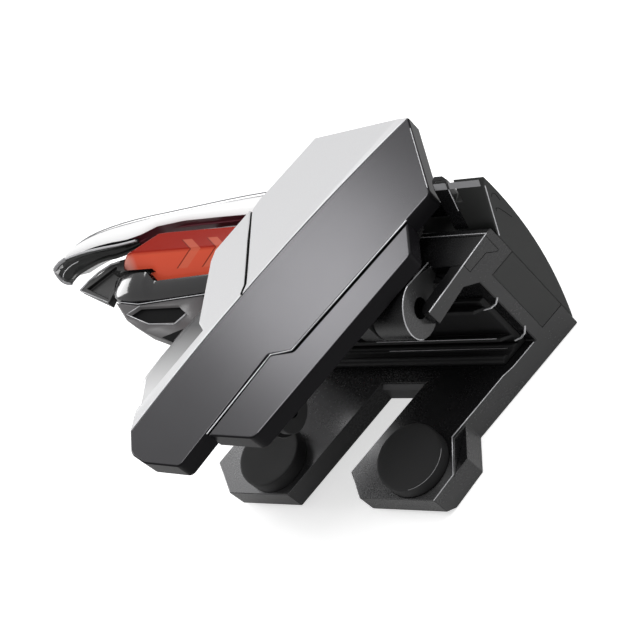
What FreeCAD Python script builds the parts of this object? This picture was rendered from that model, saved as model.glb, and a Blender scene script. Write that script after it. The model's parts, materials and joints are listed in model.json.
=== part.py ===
import FreeCAD, Part
import Sketcher
import math
import os
import re

# Clip-on phone gaming trigger.
# The clip lies with its flat back on the floor. X runs along the phone's long edge,
# Y from the fingertips to the web, Z up. The origin is on the floor, midway between the pads.

os.makedirs("parts", exist_ok=True)
doc = FreeCAD.newDocument("phone_trigger")
sheet = doc.addObject("Spreadsheet::Sheet", "Sizes")
# Driving dimensions, in millimetres and degrees, each written once
SIZES = {
    # Directions of the slanted clip and of the slanted lever, in degrees from Y
    "skew_clip": 31.6,
    "skew_lever": 33.67,
    # Pads that press on the phone's back
    "pad_rad": 4.0,
    "pad_tall": 1.8,
    "pads_apart": 19.2,
    "stem_rad": 1.6,
    "stem_deep": 2.0,
    "stem_room": 0.2,
    "fit_gap": 0.05,
    # Fingers and floor of the clip
    "finger_top": 3.8,
    "root_top": 3.5,
    "jog_start": 10.4,
    "jog_run": 1.3,
    "tip_front": 4.25,
    "right_toe_in": 6.3,
    "right_toe_out": 3.4,
    "right_wide": 6.0,
    "toe_rise": 0.84,
    "right_notch": 4.85,
    "toe_step": 0.35,
    "toe_bend_x": 4.94,
    "toe_bend_y": 1.21,
    "toe_root": 3.17,
    "left_wide": 8.55,
    "left_toe_out": 5.6,
    "toe_back": 1.2,
    "toe_shift": 0.5,
    "slot_left": -3.98,
    "slot_right": 1.94,
    "slot_end": 9.73,
    "side_right": 11.32,
    "side_left": -17.94,
    "edge_bevel": 0.9,
    # Web, upper arm and back cover
    "web_in": 14.85,
    "web_out": 18.8,
    "upper_left": -5.87,
    "low_web_top": 8.5,
    "arm_front": 9.85,
    "arm_under": 16.6,
    "arm_root": 17.4,
    "arm_tip_top": 18.9,
    "arm_top": 19.9,
    "arm_sunk": 2.0,
    "cheek": 1.5,
    "recess_back": 13.8,
    "corner_run": 1.3,
    "corner_rise": 1.4,
    "cover_foot": 1.1,
    "cover_neck": 18.3,
    "cover_lip": 20.75,
    "cover_tall": 25.4,
    "cover_thick": 0.55,
    "cover_nape": 1.6,
    "lip_bevel": 0.9,
    "cover_curve": 83.0,
    "cover_low_top": 19.4,
    "flange_left": 18.65,
    "notch_from": 1.35,
    "notch_wide": 0.8,
    "notch_deep": 2.5,
    "plug_in": 16.1,
    "plug_low": 4.0,
    "plug_high": 15.3,
    "plug_thick": 1.0,
    # Rubber cushion in the corner of the clip
    "cushion_start": 12.1,
    "cushion_thick": 0.55,
    "cushion_tall": 9.6,
    "rib_tall": 0.45,
    "rib_wide": 0.7,
    "fin_low": 5.4,
    "fin_high": 11.4,
    "fin_reach": 1.5,
    "fin_thick": 0.55,
    "fin_tip": 0.3,
    "cushion_inset": 1.2,
    # Hinge bracket on the upper arm
    "leaf_front": 14.88,
    "leaf_thick": 1.25,
    "leaf_step": 17.0,
    "leaf_drop": 17.04,
    "leaf_level": 19.4,
    "leaf_ramp": 0.8,
    "leaf_end": 0.3,
    "ear_play": 0.4,
    "ear_back": 1.0,
    "axis_back": 10.3,
    "axis_level": 19.16,
    "knuckle_rad": 3.2,
    "hinge_bore": 1.1,
    "hinge_run": 0.05,
    "ear_right": 16.4,
    "ear_right_wide": 4.0,
    "ear_left": 6.4,
    "ear_left_wide": 2.4,
    "pin_inset": 0.9,
    "side_play": 0.3,
    "lug_right_wide": 2.2,
    "lug_left_wide": 1.2,
    # Lever plates
    "plate_top": 25.0,
    "plate_thick": 2.3,
    "seam_gap": 0.4,
    "edge_cut": 0.15,
    "lever_left": -7.46,
    "far_back": 30.1,
    "far_right_back": 20.2,
    "near_front": 10.3,
    "kink_x": -2.55,
    "kink_y": 9.5,
    "near_left_x": -11.85,
    "near_left_y": -6.55,
    "plate_bow": 195.0,
    "seam_far": 4.75,
    "seam_jog_back": 2.25,
    "seam_jog_run": 2.65,
    "seam_jog_rise": 0.35,
    "seam_near_x": -3.3,
    "near_cut_x": -10.7,
    "near_cut_y": -9.0,
    "near_flat_x": -8.4,
    "strip_near": 7.05,
    "strip_near_left": -0.9,
    "strip_near_rise": 0.25,
    "strip_right_near": 5.25,
    "strip_right_far": 17.9,
    "strip_far": 13.1,
    "strip_tip": 16.9,
    "plate_corner": 0.9,
    "plate_nose": 1.6,
    "jog_round": 0.5,
    "strip_nose": 1.3,
    "near_fall": 0.3,
    # Silver panels and the shell below them
    "panel_drop": 1.5,
    "panel_run": 12.9,
    "panel_far_x": -0.6,
    "panel_far_y": 30.0,
    "panel_mid_x": -5.8,
    "panel_mid_y": 22.5,
    "split_x": -6.7,
    "split_y": 21.2,
    "split_gap": 0.35,
    "panel_out_x": -9.85,
    "panel_out_y": 16.3,
    "panel_side_y": 14.8,
    "panel_low_x": -7.62,
    "panel_low_y": 6.5,
    "hook_x": -2.65,
    "hook_y": 10.9,
    "sliver_x": -6.5,
    "sliver_y": 5.5,
    "sliver_end_x": -12.2,
    "sliver_end_y": -3.9,
    "shell_low": 20.6,
    "shell_inset": 0.9,
    "shell_joint": 1.3,
    "shell_far": 28.2,
    "wing_far_x": -10.1,
    "wing_far_y": 10.5,
    "wing_mid_x": -14.2,
    "wing_mid_y": 3.9,
    "wing_x": -15.7,
    "wing_y": 1.1,
    "wing_near_x": -15.0,
    "wing_near_y": -2.6,
    "wing_end_x": -13.2,
    "wing_end_y": -5.8,
    "wing_low_y": -6.4,
    "wing_round": 1.2,
    "wing_corner": 2.0,
    "wing_root_x": -7.8,
    "wing_root_y": 10.9,
    "pin_cover": 0.4,
    # Lever frame below the plates
    "frame_inset": 3.5,
    "frame_shoulder": 2.6,
    "frame_tip": 0.6,
    "frame_near": 4.9,
    "frame_far": 25.2,
    "frame_corner_y": 18.8,
    # Touch foot
    "foot_right": 4.3,
    "foot_y": -1.3,
    "foot_level": 19.56,
    "foot_rad": 2.5,
    "cheek_wide": 1.2,
    "foot_lug": 2.5,
    "foot_play": 0.15,
    "foot_lug_rad": 1.75,
    "foot_pin_rad": 0.8,
    "foot_sole": 16.9,
    "sole_thick": 0.6,
    "tip_rad": 1.9,
    "tip_thick": 0.5,
    "tip_cut": 0.3,
    "foot_neck": 1.2,
    "sole_bevel": 0.3,
    "pin_short": 0.3,
    # Trigger arm
    "cradle_low": 17.5,
    "cradle_floor": 18.8,
    "cradle_top": 20.2,
    "cradle_wall": 16.2,
    "cradle_back": 20.6,
    "cradle_left": -28.9,
    "cradle_left_y": 14.6,
    "cradle_lean": 0.3,
    "cradle_cut": 1.2,
    "cradle_nose": 1.0,
    "cradle_turn_x": -27.4,
    "cradle_turn_y": 13.0,
    "cradle_front_x": -23.6,
    "cradle_front_y": 12.5,
    "cradle_end": -9.0,
    "cradle_end_y": 13.8,
    "cradle_root": -3.2,
    "cradle_step": -25.3,
    "cradle_round": 0.9,
    "tab_left": -28.2,
    "tab_right": -21.6,
    "tab_slope": 1.2,
    "tab_thick": 1.0,
    "tab_tall": 0.7,
    "root_left": -8.5,
    "root_front": 15.4,
    "core_top": 22.0,
    "core_crease": 17.8,
    "core_back": 20.4,
    "core_left": -26.8,
    "core_slant": 6.2,
    "core_right": -9.3,
    "core_low_edge": 19.9,
    "house_top": 19.3,
    "house_gap": 0.15,
    "house_mid_x": -24.6,
    "house_mid_y": 10.4,
    "house_low_x": -20.9,
    "house_low_y": 8.7,
    "house_tip_x": -16.2,
    "house_tip_y": 7.3,
    "house_right": -11.5,
    "house_right_y": 8.5,
    "house_corner_y": 11.0,
    "house_end": -14.0,
    "house_end_y": 13.36,
    "house_lean": 0.7,
    "house_nose": 1.5,
    "hex_left": -24.8,
    "hex_right": -15.6,
    "hex_mid": 11.0,
    "hex_top": 12.0,
    "hex_low": 9.8,
    "hex_deep": 0.8,
    "hex_cut": 1.6,
    "hex_end_cut": 0.9,
    "hex_low_cut": 4.2,
    "insert_thick": 0.35,
    "lip_tip_x": -35.2,
    "lip_tip_y": 15.3,
    "lip_far_x": -30.5,
    "lip_far_y": 19.0,
    "lip_root_y": 20.0,
    "lip_near_x": -29.2,
    "lip_near_y": 13.1,
    "lip_low": 17.6,
    "lip_top": 18.7,
    "lip_gap": 0.1,
    "lip_rim": 0.7,
    "lip_deep": 0.5,
    # Trigger hood, which turns about an upright pin
    "pivot_x": -3.9,
    "pivot_y": 23.9,
    "barrel_rad": 1.7,
    "hood_pin_rad": 0.8,
    "hood_play": 0.25,
    "hood_top": 21.2,
    "hood_low": 16.4,
    "hood_wall": 0.9,
    "hood_flange": 1.1,
    "flange_end": -7.6,
    "hood_root_y": 25.6,
    "hood_far": 25.0,
    "hood_bend_x": -24.0,
    "hood_bend_y": 23.6,
    "hood_curve": 18.0,
    "hood_nose_x": -39.3,
    "hood_nose_y": 17.6,
    "hood_heel_x": -38.2,
    "hood_heel_y": 16.7,
    "inner_curve": 16.6,
    "flange_near": 22.4,
    "flange_turn_x": -23.0,
    "flange_turn_y": 22.1,
    "flange_wide_x": -26.1,
    "flange_wide_y": 20.5,
    "flange_nose_x": -33.0,
    "flange_nose_y": 20.1,
    "liner_low": 19.15,
    "liner_thick": 0.55,
    "liner_lean": 0.4,
    "hood_pin_low": 14.6,
    "hood_pin_head": 1.5,
    "head_thick": 0.5,
    "head_root": 0.05,
    "switch_x": -16.2,
    "switch_wide": 3.4,
    "switch_low": 16.8,
    "switch_tall": 1.6,
    "switch_deep": 1.8,
    "plunger_rad": 0.5,
    "plunger_reach": 0.15,
    # Fasteners and springs
    "screw_rad": 0.7,
    "screw_head": 1.2,
    "head_tall": 0.6,
    "screw_deep": 2.4,
    "screw_bite": 1.2,
    "cover_seat": 0.6,
    "bracket_screw_y": 16.2,
    "bracket_screw_x": 10.6,
    "cover_screw_high": 14.5,
    "cover_screw_low": 6.6,
    "cover_screw_right": 18.5,
    "cover_screw_foot": -2.0,
    "cradle_screw_y": 18.4,
    "cradle_screw_left": -7.2,
    "cradle_screw_right": -4.5,
    "spring_wire": 0.2,
    "spring_rad": 1.5,
    "spring_pitch": 0.38,
    "spring_gap": 0.15,
    "hood_coil_rad": 1.1,
    "coil_sunk": 0.6,
}
aliases = list(SIZES)
for row, alias in enumerate(aliases, 1):
    sheet.set("A%d" % row, str(SIZES[alias]))
    sheet.setAlias("A%d" % row, alias)
doc.recompute()


FAR = "60"


def bind(text):
    """Turns plain alias words in an expression into references to the sheet."""
    return re.sub(r"[a-z_]{3,}", lambda m: "Sizes." + m[0] if m[0] in aliases else m[0], text)


def number(text):
    """Works out an expression with the sheet's present values."""
    return float(sheet.evalExpression(bind(text)))


def make_body(label):
    body = doc.addObject("PartDesign::Body", label)
    body.Label = label
    return body


def place_sketch(body, name, plane, lift):
    sketch = body.newObject("Sketcher::SketchObject", name)
    origin = [item for item in body.Origin.OriginFeatures if item.Role == plane + "_Plane"][0]
    sketch.AttachmentSupport = (origin, [""])
    sketch.MapMode = "FlatFace"
    sketch.setExpression("AttachmentOffset.Base.z", bind(lift))
    return sketch


def hold(sketch, kind, geometry, point, text):
    """Adds one size to a sketch and ties it to the sheet."""
    value = number(text)
    if point:
        index = sketch.addConstraint(Sketcher.Constraint(kind, geometry, point, value))
    else:
        index = sketch.addConstraint(Sketcher.Constraint(kind, geometry, value))
    sketch.setExpression("Constraints[%d]" % index, bind(text))


def outline(body, name, plane, corners, lift="0"):
    """Closed outline through corners (x, y), or (x, y, radius) where an arc starts."""
    sketch = place_sketch(body, name, plane, lift)
    points = [FreeCAD.Vector(number(c[0]), number(c[1]), 0) for c in corners]
    count = len(points)
    ends = []
    for i in range(count):
        start = points[i]
        end = points[(i + 1) % count]
        if len(corners[i]) == 3:
            radius = number(corners[i][2])
            chord = end - start
            bulge = abs(radius) - math.sqrt(radius ** 2 - (chord.Length / 2) ** 2)
            aside = FreeCAD.Vector(chord.y, -chord.x, 0).normalize()
            middle = (start + end) / 2 + aside * math.copysign(bulge, radius)
            sketch.addGeometry(Part.Arc(start, middle, end), False)
            ends.append((1, 2) if radius > 0 else (2, 1))
        else:
            sketch.addGeometry(Part.LineSegment(start, end), False)
            ends.append((1, 2))
    for i in range(count):
        after = (i + 1) % count
        sketch.addConstraint(Sketcher.Constraint("Coincident", i, ends[i][1], after, ends[after][0]))
        hold(sketch, "DistanceX", i, ends[i][0], corners[i][0])
        hold(sketch, "DistanceY", i, ends[i][0], corners[i][1])
        if len(corners[i]) == 3:
            hold(sketch, "Radius", i, 0, corners[i][2].lstrip("-"))
    return sketch


def disc(body, name, plane, x, y, radius, lift="0"):
    sketch = place_sketch(body, name, plane, lift)
    centre = FreeCAD.Vector(number(x), number(y), 0)
    sketch.addGeometry(Part.Circle(centre, FreeCAD.Vector(0, 0, 1), number(radius)), False)
    hold(sketch, "Radius", 0, 0, radius)
    hold(sketch, "DistanceX", 0, 3, x)
    hold(sketch, "DistanceY", 0, 3, y)
    return sketch


def pad(body, sketch, length):
    feature = body.newObject("PartDesign::Pad", "Pad_" + sketch.Name)
    feature.Profile = sketch
    feature.setExpression("Length", bind(length))
    doc.recompute()
    return feature


def pocket(body, sketch, length):
    """Cuts against the sketch's normal, and checks that something was cut."""
    before = body.Shape.Volume
    feature = body.newObject("PartDesign::Pocket", "Pocket_" + sketch.Name)
    feature.Profile = sketch
    feature.setExpression("Length", bind(length))
    doc.recompute()
    if feature.Shape.isNull() or body.Shape.Volume > before - 1e-6:
        raise ValueError(body.Label + " " + sketch.Name + " cuts nothing")
    return feature


def edges_at(shape, axis, corners):
    """Names of the straight edges along axis that pass through the given corners."""
    free = [i for i in range(3) if i != axis]
    found = []
    for index, edge in enumerate(shape.Edges):
        start = edge.Vertexes[0].Point
        end = edge.Vertexes[-1].Point
        if abs(end[axis] - start[axis]) < 0.05:
            continue
        for corner in corners:
            here = [number(corner[0]), number(corner[1])]
            off = [abs(point[free[k]] - here[k]) for point in (start, end) for k in (0, 1)]
            if max(off) < 0.02:
                found.append("Edge%d" % (index + 1))
    return found


def dress(body, kind, names, **values):
    """Fillet or Chamfer on named edges of the body's last feature."""
    base = body.Tip
    feature = body.newObject("PartDesign::" + kind, kind)
    feature.Base = (base, names)
    for key, text in values.items():
        feature.setExpression(key, bind(text))
    doc.recompute()
    return feature


def round_upright(body, corners, radius):
    return dress(body, "Fillet", edges_at(body.Tip.Shape, 2, corners), Radius=radius)


def rim_edges(shape, level, left_of=FAR):
    """Names of the edges that lie wholly at one height and left of an X value."""
    height = number(level)
    limit = number(left_of) + 0.01
    flat = [abs(e.BoundBox.ZMin - height) < 1e-4 and abs(e.BoundBox.ZMax - height) < 1e-4
            and e.BoundBox.XMax < limit for e in shape.Edges]
    return ["Edge%d" % (i + 1) for i, is_flat in enumerate(flat) if is_flat]


def slanted(x, y, skew):
    """Sheet expression for X on a line that slants back from x at Y zero."""
    return "%s + (%s) * tan(%s)" % (x, y, skew)


def clip_x(x, y):
    return slanted(x, y, "skew_clip")


def lever_x(x, y):
    return slanted(x, y, "skew_lever")


PAD_X = "pads_apart / 2"
TURNS = {
    "X": FreeCAD.Rotation(FreeCAD.Vector(0, 1, 0), 90),
    "Y": FreeCAD.Rotation(FreeCAD.Vector(1, 0, 0), -90),
    "Z": FreeCAD.Rotation(),
}


def side_trims(body, left, right):
    """Cuts a piece to the clip's slanted sides; left and right are X values at Y zero."""
    left_trim = [("-2 * " + FAR, "-" + FAR), (clip_x(left, "-" + FAR), "-" + FAR),
                 (clip_x(left, FAR), FAR), ("-2 * " + FAR, FAR)]
    right_trim = [(clip_x(right, "-" + FAR), "-" + FAR), ("2 * " + FAR, "-" + FAR),
                  ("2 * " + FAR, FAR), (clip_x(right, FAR), FAR)]
    pocket(body, outline(body, "Left_side", "XY", left_trim, FAR), FAR)
    pocket(body, outline(body, "Right_side", "XY", right_trim, FAR), FAR)


# Moulded clip frame: fingers, floor, web and upper arm in one piece

frame = make_body("clip_frame")
right_toe = "pads_apart / 2 + right_toe_out"
left_toe = "left_wide - left_toe_out"
plan = [
    (clip_x("slot_right", "-toe_back"), "-toe_back"),
    (PAD_X + " - right_toe_in", "-tip_front"),
    (right_toe, "-tip_front"),
    (PAD_X + " + right_wide", "toe_rise"),
    (clip_x("side_right", "right_notch"), "right_notch"),
    (clip_x("side_right", "web_out"), "web_out"),
    (clip_x("side_left", "web_out"), "web_out"),
    (clip_x("side_left", "-toe_shift"), "-toe_shift"),
    ("-pads_apart / 2 - left_toe_out", "-tip_front"),
    (clip_x("slot_left", "-tip_front"), "-tip_front"),
    (clip_x("slot_left", "slot_end"), "slot_end"),
    (clip_x("slot_right", "slot_end"), "slot_end"),
]
pad(frame, outline(frame, "Plan", "XY", plan), "arm_top")
dress(frame, "Chamfer", rim_edges(frame.Tip.Shape, "0", right_toe), Size="edge_bevel")
bite = [
    ("-" + FAR, "finger_top"),
    ("jog_start", "finger_top"),
    ("jog_start + jog_run", "root_top"),
    ("web_in", "root_top"),
    ("web_in", "arm_root - corner_rise"),
    ("web_in - corner_run", "arm_root"),
    ("arm_front", "arm_under"),
    ("arm_front", "arm_tip_top"),
    ("cover_neck", "arm_top"),
    ("cover_neck", FAR),
    ("-" + FAR, FAR),
]
pocket(frame, outline(frame, "Bite", "YZ", bite, FAR), "2 * " + FAR)
shoulder = [
    ("-2 * " + FAR, "-" + FAR),
    (clip_x("upper_left", "-" + FAR), "-" + FAR),
    (clip_x("upper_left", FAR), FAR),
    ("-2 * " + FAR, FAR),
]
pocket(frame, outline(frame, "Shoulder", "XY", shoulder, FAR), FAR + " - low_web_top")
toe_ledge = [
    (PAD_X + " + toe_bend_x", "-toe_bend_y"),
    (PAD_X + " + 2 * right_wide", "-toe_bend_y"),
    (PAD_X + " + 2 * right_wide", "2 * right_notch"),
    (clip_x("side_right", "2 * right_notch"), "2 * right_notch"),
    (clip_x("side_right", "toe_root"), "toe_root"),
]
pocket(frame, outline(frame, "Toe_ledge", "XY", toe_ledge, "finger_top"), "toe_step")
recess = [
    (clip_x("upper_left + cheek", "0"), "0"),
    (clip_x("side_right - cheek", "0"), "0"),
    (clip_x("side_right - cheek", "recess_back"), "recess_back"),
    (clip_x("upper_left + cheek", "recess_back"), "recess_back"),
]
pocket(frame, outline(frame, "Recess", "XY", recess, FAR), FAR + " - arm_under + arm_sunk")
pocket(frame, outline(frame, "Leaf_mouth", "XY", [
    (clip_x("upper_left + cheek", "recess_back"), "recess_back - 0.1"),
    (clip_x("side_right - cheek", "recess_back"), "recess_back - 0.1"),
    (clip_x("side_right - cheek", "leaf_front"), "leaf_front + 0.1"),
    (clip_x("upper_left + cheek", "leaf_front"), "leaf_front + 0.1"),
], FAR), FAR + " - leaf_level + leaf_thick")
ear_cuts = [
    ("right", "recess_back", "arm_under - arm_sunk"),
    ("left", "recess_back", "arm_under - arm_sunk"),
    ("left", "leaf_front + 0.1", "leaf_level - leaf_thick"),
]
for index, (hand, back, floor) in enumerate(ear_cuts):
    ear_way = [
        ("ear_%s - ear_%s_wide - fit_gap" % (hand, hand), "0"),
        ("ear_%s + fit_gap" % hand, "0"),
        ("ear_%s + fit_gap" % hand, back),
        ("ear_%s - ear_%s_wide - fit_gap" % (hand, hand), back),
    ]
    sketch = outline(frame, "Ear_way_%d" % index, "XY", ear_way, FAR)
    pocket(frame, sketch, FAR + " - (" + floor + ")")
leaf_cut = [
    ("leaf_front", "leaf_level - leaf_thick"),
    ("leaf_step", "leaf_level - leaf_thick"),
    ("leaf_step + leaf_ramp", "leaf_drop"),
    ("cover_neck - leaf_end", "leaf_drop"),
    ("cover_neck - leaf_end", FAR),
    ("leaf_front", FAR),
]
pocket(frame, outline(frame, "Leaf_seat", "YZ", leaf_cut, FAR), "2 * " + FAR)


def plug_plan(side, outward):
    """Plan of a side plug: a slanted strip on the clip's side."""
    inner = side + " - plug_thick" if outward else side
    outer = side if outward else side + " + plug_thick"
    return [
        (clip_x(inner, "plug_in"), "plug_in"),
        (clip_x(outer, "plug_in"), "plug_in"),
        (clip_x(outer, "web_out"), "web_out"),
        (clip_x(inner, "web_out"), "web_out"),
    ]


plug_top = {"right": "plug_high", "left": "low_web_top - plug_thick"}
plug_side = {"right": "side_right", "left": "side_left"}
for hand in ("right", "left"):
    cut_plan = plug_plan(plug_side[hand], hand == "right")
    pocket(frame, outline(frame, "Plug_seat_" + hand, "XY", cut_plan, plug_top[hand]),
           plug_top[hand] + " - plug_low")
for hand, sign in (("right", ""), ("left", "-")):
    hole = disc(frame, "Stem_" + hand, "XY", sign + PAD_X, "0", "stem_rad + fit_gap", "finger_top")
    pocket(frame, hole, "stem_deep + stem_room")

# Rubber pads, each with a stem in the finger

for hand, sign in (("right", ""), ("left", "-")):
    rubber = make_body(hand + "_pad")
    pad(rubber, disc(rubber, "Face_" + hand, "XY", sign + PAD_X, "0", "pad_rad", "finger_top"),
        "pad_tall")
    pad(rubber, disc(rubber, "Stem_of_" + hand, "XY", sign + PAD_X, "0", "stem_rad",
                     "finger_top - stem_deep"), "stem_deep")
    dress(rubber, "Chamfer", rim_edges(rubber.Tip.Shape, "finger_top + pad_tall"), Size="edge_cut")

# Side plugs, flush in the web's ends

for hand in ("right", "left"):
    plug = make_body(hand + "_plug")
    pad(plug, outline(plug, "Plug_" + hand, "XY", plug_plan(plug_side[hand], hand == "right"),
                      "plug_low"), plug_top[hand] + " - plug_low")

# Rubber cushion: ribs on the floor and two fins on the web

cushion = make_body("edge_cushion")
floor_top = "root_top + cushion_thick"
wall = "web_in - cushion_thick"
fin = [
    (wall, "fin_high + fin_thick"),
    ("web_in - fin_reach", "fin_high + fin_reach"),
    ("web_in - fin_reach - fin_tip", "fin_high + fin_reach - fin_thick * 0.7"),
    (wall, "fin_high"),
    (wall, "fin_low + fin_thick"),
    ("web_in - fin_reach", "fin_low + fin_reach"),
    ("web_in - fin_reach - fin_tip", "fin_low + fin_reach - fin_thick * 0.7"),
    (wall, "fin_low"),
]
ribs = []
for step in (0, 1):
    start = "cushion_start + %d * 2 * rib_wide" % step
    ribs += [
        (start, floor_top),
        (start + " + 0.15", floor_top + " + rib_tall"),
        (start + " + rib_wide - 0.15", floor_top + " + rib_tall"),
        (start + " + rib_wide", floor_top),
    ]
section = [("cushion_start - 0.2", "root_top"), ("web_in", "root_top"),
           ("web_in", "root_top + cushion_tall"), (wall, "root_top + cushion_tall")]
section += fin + [(wall, floor_top)] + ribs[::-1] + [("cushion_start - 0.2", floor_top)]
pad(cushion, outline(cushion, "Section", "YZ", section, "-" + FAR), "2 * " + FAR)
side_trims(cushion, "side_left + cushion_inset", "side_right - cushion_inset")
upper = [("-2 * " + FAR, "-" + FAR), (clip_x("upper_left + cushion_inset", "-" + FAR), "-" + FAR),
         (clip_x("upper_left + cushion_inset", FAR), FAR), ("-2 * " + FAR, FAR)]
pocket(cushion, outline(cushion, "Trim_upper", "XY", upper, FAR), FAR + " - low_web_top + 0.6")

# Curved back cover with its flange beside the lever

cover = make_body("back_cover")
shell_path = [
    ("web_out", "cover_foot", "cover_curve"),
    ("cover_lip + cover_thick", "cover_tall"),
    ("cover_lip", "cover_tall - lip_bevel"),
    ("web_out", "arm_top - cover_nape"),
]
pad(cover, outline(cover, "Profile", "YZ", shell_path, "-" + FAR), "2 * " + FAR)
side_trims(cover, "side_left", "side_right")
pocket(cover, outline(cover, "Cover_shoulder", "XY", shoulder, FAR), FAR + " - low_web_top")
lever_room = [("-" + FAR, "-" + FAR), ("flange_left", "-" + FAR), ("flange_left", FAR), ("-" + FAR, FAR)]
pocket(cover, outline(cover, "Lever_room", "XY", lever_room, FAR), FAR + " - cover_low_top")
notch = [("flange_left + notch_from", "-" + FAR), ("flange_left + notch_from + notch_wide", "-" + FAR),
         ("flange_left + notch_from + notch_wide", FAR), ("flange_left + notch_from", FAR)]
pocket(cover, outline(cover, "Flange_notch", "XY", notch, FAR), FAR + " - cover_tall + notch_deep")

# Hinge bracket: a leaf let into the arm, and two ears round the hinge pin


def knuckle(body, name, right, wide, radius, back, level, root):
    """An ear between X right - wide and right: a disc joined to its root polygon."""
    pad(body, disc(body, name + "_disc", "YZ", back, level, radius, right + " - (" + wide + ")"), wide)
    pad(body, outline(body, name + "_root", "YZ", root, right + " - (" + wide + ")"), wide)


bracket = make_body("hinge_bracket")
leaf = [
    ("leaf_front", "leaf_level - leaf_thick"),
    ("leaf_step", "leaf_level - leaf_thick"),
    ("leaf_step + leaf_ramp", "leaf_drop"),
    ("cover_neck - leaf_end", "leaf_drop"),
    ("cover_neck - leaf_end", "arm_top"),
    ("leaf_front", "leaf_level"),
]
pad(bracket, outline(bracket, "Leaf", "YZ", leaf, "-" + FAR), "2 * " + FAR)
side_trims(bracket, "upper_left", "side_right")
ear_root = [
    ("axis_back + 0.1", "axis_level - 0.6 * knuckle_rad"),
    ("recess_back", "leaf_level - leaf_thick"),
    ("leaf_front + 0.2", "leaf_level - leaf_thick"),
    ("leaf_front + 0.2", "leaf_level"),
    ("axis_back + 0.5 * knuckle_rad", "axis_level + 0.866 * knuckle_rad"),
    ("axis_back + 0.1", "axis_level + 0.9 * knuckle_rad"),
]
for hand in ("right", "left"):
    knuckle(bracket, "Ear_" + hand, "ear_" + hand, "ear_%s_wide" % hand, "knuckle_rad",
            "axis_back", "axis_level", ear_root)
bore = disc(bracket, "Hinge_bore", "YZ", "axis_back", "axis_level", "hinge_bore", FAR)
pocket(bracket, bore, "2 * " + FAR)


def cylinder(label, radius, length, x, y, z, turn):
    """A plain round piece tied to the sheet; turn is the axis it lies along."""
    piece = doc.addObject("Part::Cylinder", label)
    piece.Label = label
    piece.setExpression("Radius", bind(radius))
    piece.setExpression("Height", bind(length))
    piece.Placement.Rotation = TURNS[turn]
    for axis, text in zip("xyz", (x, y, z)):
        piece.setExpression("Placement.Base." + axis, bind(text))
    return piece


hinge_left = "(ear_left - ear_left_wide)"
cylinder("hinge_pin", "hinge_bore - hinge_run", "ear_right - pin_inset - " + hinge_left,
         hinge_left, "axis_back", "axis_level", "X")

# Dark plates of the lever, both flush on top, with a stepped seam between them

under = "plate_top - plate_thick"
seam = [
    ("seam_near_x", "-near_front"),
    (lever_x("seam_far - seam_jog_run", "seam_jog_back"), "seam_jog_back"),
    (lever_x("seam_far", "seam_jog_back + seam_jog_rise"), "seam_jog_back + seam_jog_rise"),
]
far_corner = (lever_x("lever_left", "far_back"), "far_back")
kink = ("kink_x", "kink_y")
near_corner = ("near_left_x", "near_left_y")
plate_plan = seam + [
    (lever_x("seam_far", "far_right_back"), "far_right_back"),
    far_corner + ("plate_bow",),
    kink + ("plate_bow",),
    near_corner,
    ("near_cut_x", "near_cut_y"),
    ("near_flat_x", "near_fall - near_front"),
]
top_plate = make_body("top_plate")
pad(top_plate, outline(top_plate, "Plate", "XY", plate_plan, under), "plate_thick")
round_upright(top_plate, [plate_plan[0], plate_plan[3]], "plate_corner")
round_upright(top_plate, plate_plan[7:9], "plate_nose")
round_upright(top_plate, plate_plan[1:3], "jog_round")
dress(top_plate, "Chamfer", rim_edges(top_plate.Tip.Shape, "plate_top"), Size="edge_cut")

strip_plan = [
    ("strip_near_left", "strip_near_rise - strip_near"),
    ("strip_right_near", "-strip_near"),
    ("strip_right_far", "strip_far"),
    (lever_x("seam_far", "strip_tip") + " + seam_gap", "strip_tip"),
    (seam[2][0] + " + seam_gap", seam[2][1]),
    (seam[1][0] + " + seam_gap", seam[1][1]),
]
strip = make_body("lower_strip")
pad(strip, outline(strip, "Strip", "XY", strip_plan, under), "plate_thick")
round_upright(strip, strip_plan[1:2], "strip_nose")
round_upright(strip, strip_plan[2:3], "plate_corner")
round_upright(strip, strip_plan[4:6], "jog_round")
dress(strip, "Chamfer", rim_edges(strip.Tip.Shape, "plate_top"), Size="edge_cut")

# Two silver panels that slope away from the plate's edge


def upright_sketch(name, corners, y):
    """Closed outline in the X and Z directions, standing at the given Y."""
    sketch = doc.addObject("Sketcher::SketchObject", name)
    sketch.Placement = FreeCAD.Placement(FreeCAD.Vector(), FreeCAD.Rotation(FreeCAD.Vector(1, 0, 0), 90))
    sketch.setExpression("Placement.Base.y", bind(y))
    points = [FreeCAD.Vector(number(x), number(z), 0) for x, z in corners]
    count = len(points)
    for i in range(count):
        sketch.addGeometry(Part.LineSegment(points[i], points[(i + 1) % count]), False)
    for i in range(count):
        sketch.addConstraint(Sketcher.Constraint("Coincident", i, 2, (i + 1) % count, 1))
        hold(sketch, "DistanceX", i, 1, corners[i][0])
        hold(sketch, "DistanceY", i, 1, corners[i][1])
    return sketch


def slope_tool(name):
    """Wedge that takes the panels down towards their outer edge, along the lever."""
    start = "kink_x - kink_y * tan(skew_lever)"
    corners = [(start, "plate_top"), (start + " - panel_run", "plate_top - panel_drop"),
               (start + " - 2 * panel_run", "plate_top - 2 * panel_drop"),
               (start + " - 2 * panel_run", "2 * plate_top"), (start, "2 * plate_top")]
    wedge = doc.addObject("Part::Extrusion", name)
    wedge.Base = upright_sketch(name + "_line", corners, "0")
    wedge.DirMode = "Custom"
    wedge.setExpression("Dir.x", bind("sin(skew_lever)"))
    wedge.setExpression("Dir.y", bind("cos(skew_lever)"))
    wedge.Dir = FreeCAD.Vector(0.5, 0.8, 0)
    wedge.setExpression("LengthFwd", bind(FAR))
    wedge.setExpression("LengthRev", bind(FAR))
    wedge.Solid = True
    doc.recompute()
    return wedge


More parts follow.
